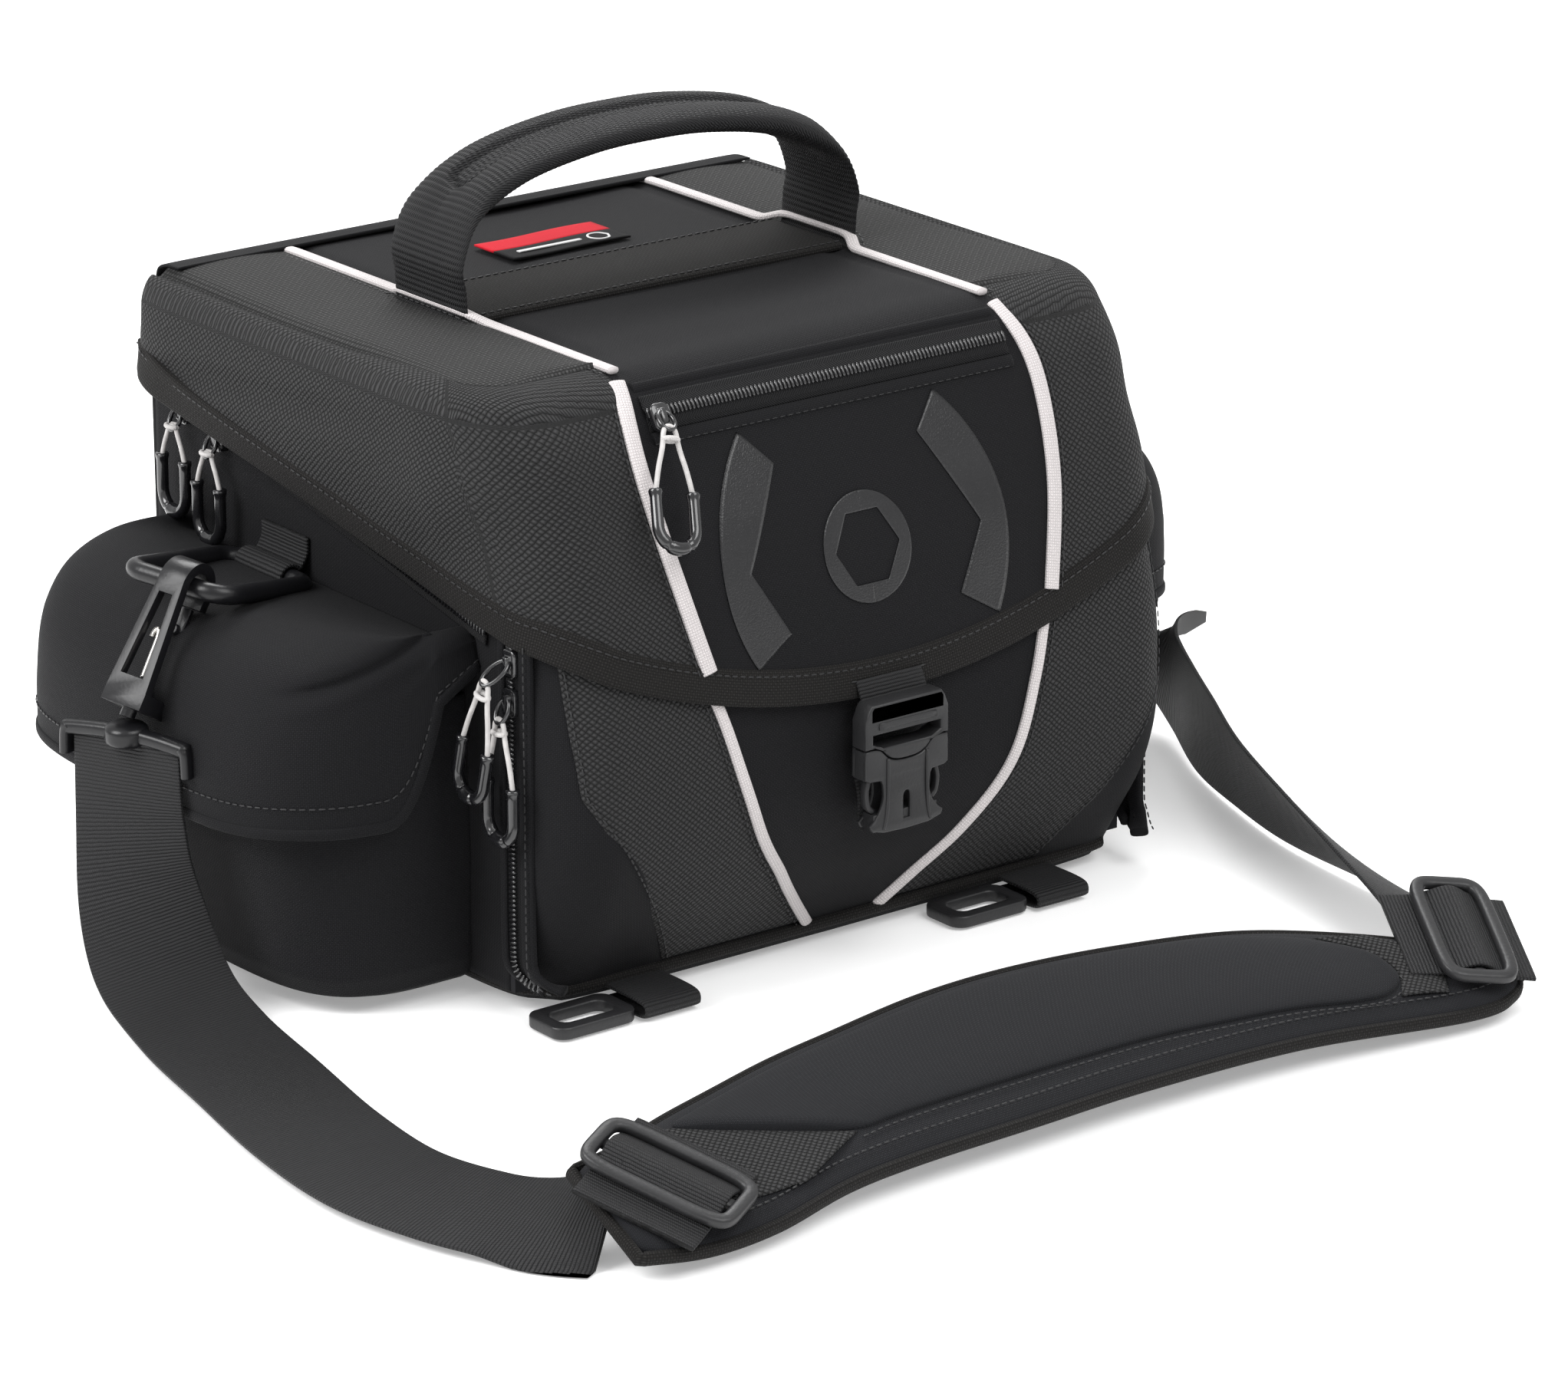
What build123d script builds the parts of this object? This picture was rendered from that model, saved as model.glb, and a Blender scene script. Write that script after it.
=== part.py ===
from build123d import *
import math
import os

# Shoulder camera bag. +X is the bag's right seen from the front, the front faces -Y, +Z is up.
# The origin is the middle of the base, on the surface that the bag stands on. Millimetres.

# ---- driving dimensions -------------------------------------------------------------------
HALF_W = 150.5                 # body side panels, outer face
Y_BACK = 137.0                 # back of the body
Z_BASE = 9.0                   # top of the base board
Z_RIM = 190.0                  # top rim of the main compartment
Z_LID = 241.0                  # top of the lid
PADDED = 8.0                   # padded wall
FABRIC = 3.0                   # lined fabric wall
CORNER_R = 25.0                # upright front corners
Y_POCKET = -113.0              # back of the front organiser pocket
Z_POCKET_TOP = 176.0
FLAP_GAP = 1.0                 # room between the body and the flap that hangs over it
HEM_MID_Z = 111.0              # lowest point of the flap's hem, at the middle of the front
HEM_CORNER_Z = 151.0           # hem where it turns the front corners
HEM_SLOPE = 0.213              # hem rises towards the back along the sides
HEM_Y0 = -121.0
BINDING = 13.0                 # width of the tape that binds the hem
PIPING = 6.0                   # width of the flat piping
WEB = 50.0                     # shoulder webbing
WEB_T = 2.0
CORD_D = 2.0                   # elastic cord of the zip pulls
DIVIDER_X = 48.0               # the two dividers, either side of the middle bay
DIVIDER_T = 6.0
BOARD_T = 5.0                  # padded board in the lid
WING_X = 88.0                  # seam between the flap's centre and its wings
SKIRT_END_Y = 131.0            # the wings stop short of the back panel
ZIP_BAND = (220.0, 234.0)      # height of the zip in the flap

HANDLE_Y = 14.5                # middle of the handle, front to back
HANDLE_LOW = 256.0             # the handle's free arch starts here; its sewn ends bend below it
HANDLE_W = 44.0

BUCKLE_X = -1.5
BUCKLE_BACK = -156.6           # back face of the plug and socket
BUCKLE_T = 9.0
BUCKLE_HALF = 20.0
SOCKET_WALL = 2.0
SEAM_Z = 93.0                  # where plug and socket meet
SOCKET_Z = 60.0
PLUG_TOP_Z = 109.0
ARM_PLAY = 0.3                 # between the arms' heads and the socket's side walls

RING_X, RING_Z = -160.0, 143.0  # axis of the ring's straight bar, and of the pocket flap's root
RING_TILT = 12.9                # the ring lies on the flap, rising outwards
RING_R = 3.9
TAB_Y = (20.0, 52.0)            # webbing tab that holds the ring
POUCH_X = -222.0
POUCH_Y = (-85.0, 110.0)
POUCH_Z = 6.0
POUCH_TOP = 116.0
POUCH_R = 38.0
DOME_Y = (-93.0, 118.0)
DOME_HEM = (122.0, 80.0)        # height of the pocket flap's hem at its ends and at its middle

HOOK_SWIVEL = (-251.5, -2.0, 109.5)  # centre of the swivel ball
HOOK_ACROSS = (0.35, -0.937, 0.0)    # the strap's width direction at the hook
HOOK_UP = (0.53, 0.075, 0.845)       # from the swivel to the ring

PAD_TILT = 20.0
PAD_T = 12.0
COVER_T = 3.5
TRIGLIDE = (60.0, 30.0, 4.0)    # three-bar slide for 50 mm webbing
TRIPOD_X = (-103.0, 91.0)       # the two loops under the front of the base

# front of the body as (y, z), from the base to the lid's front edge
FRONT = [(-121, 8), (-130, 23), (-143, 45), (-151, 72), (-150.5, 100), (-148, 118),
         (-144, 134), (-134, 173), (-120, 208), (-108, 228), (-93, 241)]

# half spacing of the two piping lines against height, from the lid's edge to the bottom welt
PIPING_LINE = [(90, 243), (96, 225), (97, 205), (93, 173), (84, 134), (79, 116), (63, 69),
               (45, 42), (30, 24), (14, 6)]

# profile of the side pocket's domed flap as (x, z), outer and inner face, from its root to its hem
DOME = [(-165, 138.5), (-185, 143), (-203, 145), (-217, 138), (-228, 121), (-234, 100), (-236, 74)]
DOME_IN = [(-165, 135.5), (-185, 140), (-202, 142), (-214.5, 135.5), (-225, 119.5), (-231, 99),
           (-233, 73)]

# outline of the shoulder pad and of its raised cover, along the pad's slope
PAD_UPPER = [(-258, 52), (-213, 61), (-157, 73), (-95, 83), (-34, 84), (30, 77), (90, 62), (150, 30)]
PAD_LOWER = [(160, 10), (125, -3), (60, 7), (-15, 11), (-80, 10), (-134, 8), (-190, -1), (-258, -3)]
COVER_UPPER = [(-205, 54), (-157, 66), (-95, 76), (-34, 77), (30, 70), (85, 56)]
COVER_LOWER = [(100, 12), (60, 17), (-15, 21), (-80, 20), (-134, 18), (-178, 14)]

os.makedirs("parts", exist_ok=True)


# ---- small makers ---------------------------------------------------------------------------
def block(x, y, z):
    """A box from three (low, high) pairs."""
    size = Box(x[1] - x[0], y[1] - y[0], z[1] - z[0])
    return Pos((x[0] + x[1]) / 2, (y[0] + y[1]) / 2, (z[0] + z[1]) / 2) * size


def extrude_x(face_edges, x0, x1):
    """Close edges drawn in the Y-Z plane and extrude them from x0 to x1."""
    face = make_face(face_edges)
    return Pos(x0, 0, 0) * extrude(face, amount=x1 - x0, dir=(1, 0, 0))


def yz(y, z):
    return Vector(0, y, z)


def xz(x, z):
    return Vector(x, 0, z)


def envelope(out, z0=Z_BASE, z1=Z_LID, y1=Y_BACK):
    """The body's outer shape moved outwards by out: side profile crossed with the rounded plan."""
    pts = [yz(y - out, z) for y, z in FRONT]
    curve = Spline(*pts)
    top, bottom = pts[-1].Z, pts[0].Z
    rest = Polyline(pts[-1], yz(y1, top), yz(y1, bottom), pts[0])
    w = HALF_W + out
    side = extrude_x([curve, rest], -w, w)
    depth = 160.0 + out
    plan = Rectangle(2 * w, depth + y1)
    plan = fillet(plan.vertices().group_by(Axis.Y)[0], CORNER_R + out)
    plan = Pos(0, (y1 - depth) / 2 + 8.0, 0) * extrude(plan, amount=300)
    keep = block((-w - 1, w + 1), (-200, y1), (z0, z1))
    return side & plan & keep


def hem_solid(rise, y0, y1, x0, x1):
    """Everything below the hem line raised by rise, over the front corners and the sides."""
    mid, corner = HEM_MID_Z + rise, HEM_CORNER_Z + rise
    arc = ThreePointArc(xz(-HALF_W - 8, corner + 2), xz(0, mid), xz(HALF_W + 8, corner + 2))
    rest = Polyline(arc @ 1, xz(HALF_W + 8, 0), xz(-HALF_W - 8, 0), arc @ 0)
    front = Pos(0, HEM_Y0, 0) * extrude(make_face([arc, rest]), amount=80, dir=(0, -1, 0))
    z_back = corner + HEM_SLOPE * (Y_BACK + 10 - HEM_Y0)
    line = Polyline(yz(HEM_Y0, corner), yz(Y_BACK + 10, z_back), yz(Y_BACK + 10, 0),
                    yz(HEM_Y0, 0), yz(HEM_Y0, corner))
    side = extrude_x([line], -HALF_W - 20, HALF_W + 20)
    return (front + side) & block((x0, x1), (y0, y1), (0, 300))


def hem_z(y):
    """Height of the hem along the sides."""
    return HEM_CORNER_Z + HEM_SLOPE * (y - HEM_Y0)


def rounded_block(x, y, z, radius, axis=Axis.Z):
    """A box whose edges along one axis are rounded."""
    solid = block(x, y, z)
    return fillet(solid.edges().filter_by(axis), radius)


def ribbon(stations, width, thick):
    """Webbing as ruled lengths between stations: (centre, width direction, face normal)."""
    faces = []
    for centre, across, normal in stations:
        a = Vector(*across).normalized()
        n = Vector(*normal)
        n = (n - a * n.dot(a)).normalized()
        plane = Plane(origin=Vector(*centre), x_dir=a, z_dir=a.cross(n))
        faces.append(plane * Rectangle(width, thick))
    solid = loft(faces, ruled=True)
    return solid if solid.volume > 0 else loft(faces[::-1], ruled=True)


def mirrored(part):
    """The same piece for the bag's other side."""
    return mirror(part, about=Plane.YZ)


def cord_path(points):
    """Straight runs joined by tangent arcs, each as large as its two runs allow."""
    pts = [Vector(*p) for p in points]
    radii = []
    for a, b, c in zip(pts, pts[1:], pts[2:]):
        turn = math.radians((b - a).get_angle(c - b))
        run = min((b - a).length, (c - b).length)
        radii.append(round(0.45 * run / math.tan(turn / 2), 3))
    return FilletPolyline(*pts, radius=radii), radii


def save(name, solid):
    export_step(solid if isinstance(solid, Compound) else Compound(children=[solid]),
                f"parts/{name}.step")


def group(*solids):
    return Compound(children=list(solids))


# ---- body -------------------------------------------------------------------------------------
def body_panels():
    """Base board, padded walls, dividers and the rim that carries the main zip."""
    base = block((-HALF_W, HALF_W), (-121, Y_BACK), (0, Z_BASE))
    base = fillet(base.edges().filter_by(Axis.Z), CORNER_R - 5)
    base = chamfer(base.faces().sort_by(Axis.Z)[0].edges(), 7)
    inner = HALF_W - PADDED
    y0, y1 = Y_POCKET + PADDED, Y_BACK - PADDED
    outline = Polyline(yz(y0, Z_BASE), yz(y0, Z_RIM), yz(30, Z_RIM), yz(y1, hem_z(y1) + 12),
                       yz(y1, Z_BASE), yz(y0, Z_BASE))
    side = extrude_x([outline], -HALF_W, -inner)
    back = block((-HALF_W, HALF_W), (Y_BACK - PADDED, Y_BACK), (Z_BASE, Z_LID - 7))
    back = fillet(back.edges().filter_by(Axis.Z).group_by(Axis.Y)[-1], 6)
    front = block((-HALF_W, HALF_W), (Y_POCKET, Y_POCKET + PADDED), (Z_BASE, Z_RIM))
    dividers = []
    for x in (-DIVIDER_X, DIVIDER_X):
        sheet = block((x - DIVIDER_T / 2, x + DIVIDER_T / 2),
                      (Y_POCKET + PADDED + 0.3, Y_BACK - PADDED - 0.3), (Z_BASE + 0.3, Z_RIM - 25))
        dividers.append(fillet(sheet.edges().filter_by(Axis.X).group_by(Axis.Z)[-1], 12))
    save("base_panel", base)
    save("side_panel_left", side)
    save("side_panel_right", mirrored(side))
    save("back_panel", back)
    save("front_panel", front)
    save("dividers", group(*dividers))


def main_zip():
    """Zip tape sewn along both sides, just inside the hem of the lid's flap."""
    tape = Polyline(yz(-100, hem_z(-100) - 3), yz(126, hem_z(126) - 3), yz(126, hem_z(126) + 7),
                    yz(-100, hem_z(-100) + 7), yz(-100, hem_z(-100) - 3))
    left = extrude_x([tape], -HALF_W - 0.4, -HALF_W) & block((-160, 0), (-101, 130), (0, Z_RIM))
    save("main_zip", group(left, mirrored(left)))


def front_pocket():
    """Organiser pocket on the front: outer panel, and the gusset frame with the zip."""
    outer = envelope(0, Z_BASE, Z_POCKET_TOP)
    hollow = envelope(-FABRIC, Z_BASE + FABRIC, Z_POCKET_TOP + 1)
    shell = outer - hollow
    y_seam = Y_POCKET - 7
    panel = shell & block((-200, 200), (-200, y_seam), (0, 300))
    frame = shell & block((-200, 200), (y_seam, Y_POCKET), (0, 300))
    save("front_pocket_panel", panel)
    save("front_pocket_zip", frame)


def piping_band(z0, z1, inner, outer):
    """Both piping strips between two heights, as raised tape on the front."""
    line = Spline(*[xz(x, z) for x, z in reversed(PIPING_LINE)])
    strip = []
    for shift in (-PIPING / 2, PIPING / 2):
        strip.append(Pos(shift, 0, 0) * line)
    ends = [Line(strip[0] @ 0, strip[1] @ 0), Line(strip[0] @ 1, strip[1] @ 1)]
    face = make_face([strip[0], ends[1], strip[1], ends[0]])
    band = Pos(0, -60, 0) * extrude(face, amount=120, dir=(0, -1, 0))
    raised = envelope(outer, z0, z1) - envelope(inner, z0 - 5, z1 + 5)
    right = raised & band & block((0, 200), (-200, -80), (z0, z1))
    return right


def body_piping():
    below_hem = hem_solid(-1.0, -200, -80, -200, 200)
    right = piping_band(Z_BASE + 2, 140, 0, 1.2) & below_hem
    save("body_piping", group(right, mirrored(right)))


# ---- lid --------------------------------------------------------------------------------------
def lid_shell():
    """The lid: padded top board, centre flap, two wings that wrap the sides, hem binding."""
    inner, outer = FLAP_GAP, FLAP_GAP + FABRIC
    z_board = Z_LID - BOARD_T
    skirt = envelope(outer, 100, z_board) - envelope(inner, 90, z_board + 5, Y_BACK + 2)
    skirt = skirt - hem_solid(0, -200, 200, -200, 200)
    skirt = skirt & block((-200, 200), (-200, SKIRT_END_Y), (0, 300))
    save("flap_centre", skirt & block((-WING_X, WING_X), (-200, -60), (0, 300)))
    wing = skirt & block((-200, -WING_X), (-200, SKIRT_END_Y), (0, 300))
    save("flap_wing_left", wing)
    save("flap_wing_right", mirrored(wing))
    edge = Polyline(yz(-103.5, z_board), yz(-97, Z_LID), yz(Y_BACK, Z_LID), yz(Y_BACK, z_board),
                    yz(-103.5, z_board))
    save("lid_top_panel", extrude_x([edge], -HALF_W - outer, HALF_W + outer))
    tape = envelope(outer + 1.2, 100, 230) - envelope(outer, 90, 235)
    tape = tape & block((-200, 200), (-200, SKIRT_END_Y), (0, 300))
    tape = tape & hem_solid(BINDING, -200, SKIRT_END_Y, -200, 200)
    save("flap_binding", tape - hem_solid(0, -200, 200, -200, 200))


def lid_trim():
    """Piping, the strip under the handle and the zip of the flap's slim pocket."""
    front = piping_band(124, Z_LID - 6, FLAP_GAP + FABRIC, FLAP_GAP + FABRIC + 1.2)
    front = front - hem_solid(BINDING + 0.5, -200, 200, -200, 200)
    top = block((90 - PIPING / 2, 90 + PIPING / 2), (-90, 128), (Z_LID, Z_LID + 1.2))
    save("lid_piping", group(front, top, mirrored(front), mirrored(top)))
    raised = envelope(FLAP_GAP + FABRIC + 1.2, *ZIP_BAND) - envelope(FLAP_GAP + FABRIC, 200, 240)
    save("flap_zip", raised & block((-89, 89), (-200, -80), (0, 300)))
    strip = block((-86, 86), (HANDLE_Y - WEB / 2, HANDLE_Y + WEB / 2), (Z_LID, Z_LID + 1.6))
    ends = []
    for x in (-95, 95):
        ends.append(block((x - 2, x + 2), (HANDLE_Y - 24, HANDLE_Y + 24), (Z_LID, Z_LID + 4.5)))
    save("handle_strip", group(strip, *ends))


def handle():
    """Padded webbing arch over the lid."""
    half = [(96, HANDLE_LOW), (97, 268), (86, 286), (62, 298), (28, 304), (0, 305.5)]
    outer = half + [(-x, z) for x, z in reversed(half[:-1])]
    inner = [(x - 5 if x > 0 else x + 5 if x < 0 else 0, z - 4) for x, z in outer]
    inner = [(outer[0][0] - 5, HANDLE_LOW)] + inner[1:-1] + [(outer[-1][0] + 5, HANDLE_LOW)]
    top = Spline(*[xz(x, z) for x, z in outer])
    low = Spline(*[xz(x, z) for x, z in inner])
    face = make_face([top, low, Line(top @ 0, low @ 0), Line(top @ 1, low @ 1)])
    arch = Pos(0, HANDLE_Y + HANDLE_W / 2, 0) * extrude(face, amount=HANDLE_W, dir=(0, -1, 0))
    save("carry_handle", arch)


# ---- front buckle -----------------------------------------------------------------------------
def buckle():
    """Side-release buckle: socket on the body, ladder plug on the flap, two sprung arms."""
    x, back, face = BUCKLE_X, BUCKLE_BACK, BUCKLE_BACK - BUCKLE_T
    half = BUCKLE_HALF
    socket = rounded_block((x - half, x + half), (face, back), (SOCKET_Z, SEAM_Z), 7, Axis.Y)
    room = half - SOCKET_WALL
    mouth = block((x - room, x + room), (face + 2, back - 2), (SOCKET_Z + 8, SEAM_Z + 1))
    windows = []
    for side in (-1, 1):
        edge = x + side * half
        windows.append(block((min(edge, edge - side * 9), max(edge, edge - side * 9)),
                             (face - 1, back + 1), (SOCKET_Z + 8, SEAM_Z - 12)))
    slot = block((x - 1.2, x + 1.2), (face - 1, face + 2), (SOCKET_Z + 3, SOCKET_Z + 15))
    socket = socket - mouth - windows[0] - windows[1] - slot
    tab = block((x - 16, x + 16), (back, back + 4.6), (SOCKET_Z + 2, SOCKET_Z + 14))
    save("buckle_socket", group(socket))
    save("socket_tab", tab)

    frame = rounded_block((x - half, x + half), (face, back), (SEAM_Z + 0.3, PLUG_TOP_Z), 4, Axis.Y)
    for z in (97.0, 104.5):
        frame = frame - block((x - 16, x + 16), (face - 1, back + 1), (z, z + 4))
    tongue = block((x - 5, x + 5), (face + 2.4, back - 2.4), (SOCKET_Z + 12, SEAM_Z + 0.3))
    save("buckle_plug", frame + tongue)

    arm = block((x - 16.0, x - 12.5), (face + 2.4, back - 2.4), (SOCKET_Z + 12, SEAM_Z))
    head = block((x - room + ARM_PLAY, x - 12.5), (face + 2.4, back - 2.4), (SOCKET_Z + 10, SEAM_Z - 13))
    head = chamfer(head.edges().filter_by(Axis.Y).group_by(Axis.X)[0], 2.2)
    left = arm + head
    save("buckle_arm_left", left)
    save("buckle_arm_right", mirror(left, about=Plane(origin=(x, 0, 0), z_dir=(1, 0, 0))))

    down = [((x, -153.4, 110.4), (1, 0, 0), (0, 1, 0)), ((x, -155.6, 106.8), (1, 0, 0), (0, 1, 0)),
            ((x, -155.6, 96.0), (1, 0, 0), (0, 1, 0))]
    save("buckle_webbing", ribbon(down, 32, 1.6))


# ---- zip pulls --------------------------------------------------------------------------------
def pull_parts(name, place, length, tilt=0.0, stand=2.2):
    """Slider, elastic cord loop and rubber grip. In the local frame the zip lies in the plane
    y = 0, +Z is up, -Y points away from the fabric, and the pull hangs down from the origin."""
    slider = rounded_block((-4, 4), (-3.4, 0), (-5.5, 5.5), 2.5, Axis.Y)
    bridge = block((-1.6, 1.6), (-5.2, -3.4), (-3.5, 3.0))
    save(f"{name}_slider", place * (slider + bridge))
    grip_top = -(length - 21)
    lean = Rot(0, tilt, 0)
    y = -5.4 - stand
    half = 8.2
    route = [(-half, y, grip_top), (-half + 1.6, y, grip_top * 0.72), (-3.4, y, grip_top * 0.42),
             (-2.5, y, -5.5), (2.5, y, -5.5), (3.4, y, grip_top * 0.42),
             (half - 1.6, y, grip_top * 0.72), (half, y, grip_top)]
    path, radii = cord_path(route)
    section = Plane(origin=path @ 0, z_dir=path % 0) * Circle(CORD_D / 2)
    cord = sweep(section, path=path)
    expected = math.pi * CORD_D ** 2 / 4 * path.length
    print(name, "cord length", round(path.length, 1), "radii", radii,
          "volume ratio", round(cord.volume / expected, 3))
    save(f"{name}_cord", place * lean * cord)
    low = grip_top - 21
    arch = Polyline((-half, grip_top), (-half, low + half)) + ThreePointArc(
        (-half, low + half), (0, low), (half, low + half)) + Line((half, low + half), (half, grip_top))
    arch = Plane(origin=(0, y, 0), x_dir=(1, 0, 0), z_dir=(0, -1, 0)) * arch
    tube = Plane(origin=arch @ 0, z_dir=arch % 0) * Circle(2.4)
    save(f"{name}_grip", place * lean * sweep(tube, path=arch))


def side_place(y, z):
    """A zip pull on the left side panel: local -Y becomes world -X, local X becomes world -Y."""
    return Location(Plane(origin=(-HALF_W - 0.6, y, z), x_dir=(0, -1, 0), z_dir=(0, 0, 1)))


# ---- side pockets, strap ring and hook ---------------------------------------------------------
def dome_block(points, z_low, y0, y1):
    """The flap's profile, closed straight down to z_low, as a solid from y0 to y1."""
    curve = Spline(*[xz(x, z) for x, z in points])
    last, first = points[-1], points[0]
    rest = Polyline(xz(*last), xz(last[0], z_low), xz(first[0], z_low), xz(*first))
    face = make_face([curve, rest])
    return Pos(0, y1, 0) * extrude(face, amount=y1 - y0, dir=(0, -1, 0))


def side_pockets():
    """Barrel pouch on each side and the domed flap that covers it."""
    y0, y1 = POUCH_Y
    pouch = rounded_block((POUCH_X, -110), (y0, y1), (POUCH_Z, POUCH_TOP), POUCH_R)
    hollow = rounded_block((POUCH_X + FABRIC, -110 - FABRIC), (y0 + FABRIC, y1 - FABRIC),
                           (POUCH_Z + FABRIC, POUCH_TOP + 1), POUCH_R - FABRIC)
    pouch = (pouch - hollow) & block((-300, -HALF_W), (-200, 200), (0, 300))
    save("side_pocket_left", pouch)
    save("side_pocket_right", mirrored(pouch))

    dome = dome_block(DOME, 70, *DOME_Y)
    inner = dome_block(DOME_IN, 60, DOME_Y[0] + FABRIC, DOME_Y[1] - FABRIC)
    cap = dome - inner
    ends, middle = DOME_HEM
    arc = ThreePointArc(yz(DOME_Y[0] - 5, ends), yz(8, middle), yz(DOME_Y[1] + 5, ends))
    rest = Polyline(arc @ 1, yz(DOME_Y[1] + 5, 40), yz(DOME_Y[0] - 5, 40), arc @ 0)
    cap = cap - extrude_x([arc, rest], -300, -100)
    root = block((-166, -152), (-70, 4), (134.5, 137.5))
    flap = cap + root
    save("side_pocket_flap_left", flap)
    save("side_pocket_flap_right", mirrored(flap))


def ring_plane():
    """Local X runs outwards along the ring, local Y is world Y, local Z is the ring's normal."""
    tilt = math.radians(RING_TILT)
    out = Vector(-math.cos(tilt), 0, math.sin(tilt))
    return Plane(origin=(RING_X, 0, RING_Z), x_dir=out, z_dir=out.cross(Vector(0, 1, 0)))


def strap_rings():
    """Ring for the shoulder strap and the webbing tab that holds its straight bar."""
    corners = [(0, 10), (0, 62), (70, 30), (56, -14)]
    loop = FilletPolyline(*corners, radius=9, close=True)
    loop = ring_plane() * loop
    section = Plane(origin=loop @ 0, z_dir=loop % 0) * Circle(RING_R)
    ring = sweep(section, path=loop)
    save("dring_left", ring)
    save("dring_right", mirrored(ring))
    width = TAB_Y[1] - TAB_Y[0]
    bar = Location(Plane(origin=(RING_X, TAB_Y[1], RING_Z), x_dir=(1, 0, 0), z_dir=(0, -1, 0)))
    sleeve = extrude(Circle(RING_R + 2.2), amount=width) - extrude(Circle(RING_R + 0.4), amount=width)
    sleeve = bar * sleeve
    plate = block((-153.4, -HALF_W), TAB_Y, (RING_Z - 3, RING_Z + 14))
    bridge = block((-157, -152), TAB_Y, (RING_Z + 4.4, RING_Z + 6.1))
    tab = sleeve + plate + bridge
    save("dring_tabs", group(tab, mirrored(tab)))


def hook_plane():
    """Local X is the hook's width, local Z its length, local Y points to the bag."""
    up = Vector(*HOOK_UP).normalized()
    across = Vector(*HOOK_ACROSS)
    across = (across - up * across.dot(up)).normalized()
    return Plane(origin=HOOK_SWIVEL, x_dir=across, z_dir=up)


def strap_hooks():
    """Swivel snap hook: frame with a window, sprung gate strip, and the T-bar for the webbing."""
    place = hook_plane()
    ring_y, ring_z, r_in, r_out = 2.0, 57.0, 6.2, 10.4
    arch = Circle(r_out) - Circle(r_in)
    arch = arch & (Pos(0, r_out) * Rectangle(4 * r_out, 2 * r_out))
    side = Plane(origin=(-6, ring_y, ring_z), x_dir=(0, 1, 0), z_dir=(1, 0, 0))
    nose = extrude(side * arch, amount=12)
    lower = ring_z - 7
    tip = block((-6, 6), (ring_y + r_in, ring_y + r_out), (lower, ring_z))
    plate_y = (ring_y - r_out, ring_y - r_in)
    half_low, half_top = 9.5, 6.0
    outline = Polyline((-half_low, 10), (half_low, 10), (half_top, ring_z), (-half_top, ring_z),
                       (-half_low, 10))
    window = Polyline((-5.5, 17), (5.5, 17), (3.2, 51), (-3.2, 51), (-5.5, 17))
    front = Plane(origin=(0, plate_y[1], 0), x_dir=(1, 0, 0), z_dir=(0, -1, 0))
    plate = extrude(front * (make_face(outline) - make_face(window)), amount=r_out - r_in)
    foot = block((-9.5, 9.5), (plate_y[0], ring_y + r_in + 0.5), (5.2, 12))
    frame = nose + tip + plate + foot
    neck = Pos(0, -1, 1.8) * extrude(Circle(3.0), amount=3.5)
    frame = frame + neck
    save("hook_frame_left", place * frame)
    save("hook_frame_right", mirrored(place * frame))

    gate = block((-3.5, 3.5), (ring_y + r_in - 1.6, ring_y + r_in + 0.2), (12.3, lower - 0.6))
    stud = Pos(0, ring_y + r_in - 1.6, 40) * Rot(90, 0, 0) * extrude(Circle(2.2), amount=2.5)
    gate = gate + stud
    save("hook_gate_left", place * gate)
    save("hook_gate_right", mirrored(place * gate))

    level = Location(Plane(origin=HOOK_SWIVEL, x_dir=Vector(*HOOK_ACROSS).normalized(),
                           z_dir=(0, 0, 1)))
    bar = block((-29, 29), (-3, 3), (-7.5, -2.5))
    hub = rounded_block((-10, 10), (-5, 5), (-8.5, -0.4), 4)
    legs = []
    for side_x in (-1, 1):
        x_pair = sorted((side_x * 26.5, side_x * 30))
        legs.append(block(x_pair, (-3, 3), (-16, -2.5)))
    base = level * (bar + hub + legs[0] + legs[1])
    save("hook_base_left", base)
    save("hook_base_right", mirrored(base))


# ---- shoulder strap ----------------------------------------------------------------------------
def pad_plane(rise=0.0):
    """The pad leans back: local X is world X, local Y climbs the slope, local Z is its normal."""
    tilt = math.radians(PAD_TILT)
    normal = Vector(0, -math.sin(tilt), math.cos(tilt))
    origin = Vector(0, -345, 3.2) + normal * rise
    return Plane(origin=origin, x_dir=(1, 0, 0), z_dir=normal)


def outline_face(upper, lower):
    """A face between two smooth edges, with straight ends."""
    return make_face([Spline(*upper), Line(upper[-1], lower[0]), Spline(*lower),
                      Line(lower[-1], upper[0])])


def shoulder_pad():
    """Curved pad and its raised cover, with the adjusting triglide at each end."""
    pad = extrude(pad_plane() * outline_face(PAD_UPPER, PAD_LOWER), amount=PAD_T)
    save("shoulder_pad", pad)
    cover = extrude(pad_plane(PAD_T) * outline_face(COVER_UPPER, COVER_LOWER), amount=COVER_T)
    save("pad_cover", cover)


def triglide(centre, turn):
    """Three-bar slide lying on the webbing."""
    length, width, thick = TRIGLIDE
    frame = RectangleRounded(length, width, 5)
    slot = Rectangle(WEB + 1, 7)
    slots = Pos(0, 7) * slot + Pos(0, -7) * slot
    place = pad_plane(PAD_T + 2.6) * Location((centre[0], centre[1], 0), (0, 0, turn))
    return place * extrude(frame - slots, amount=thick)


def strap_slides():
    save("strap_triglides", group(triglide((-236, 27), -62), triglide((146, 30), -115)))


def pad_point(x, s, rise):
    """World position of a point on the pad's slope."""
    p = pad_plane(rise).from_local_coords((x, s, 0))
    return (p.X, p.Y, p.Z)


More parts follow.
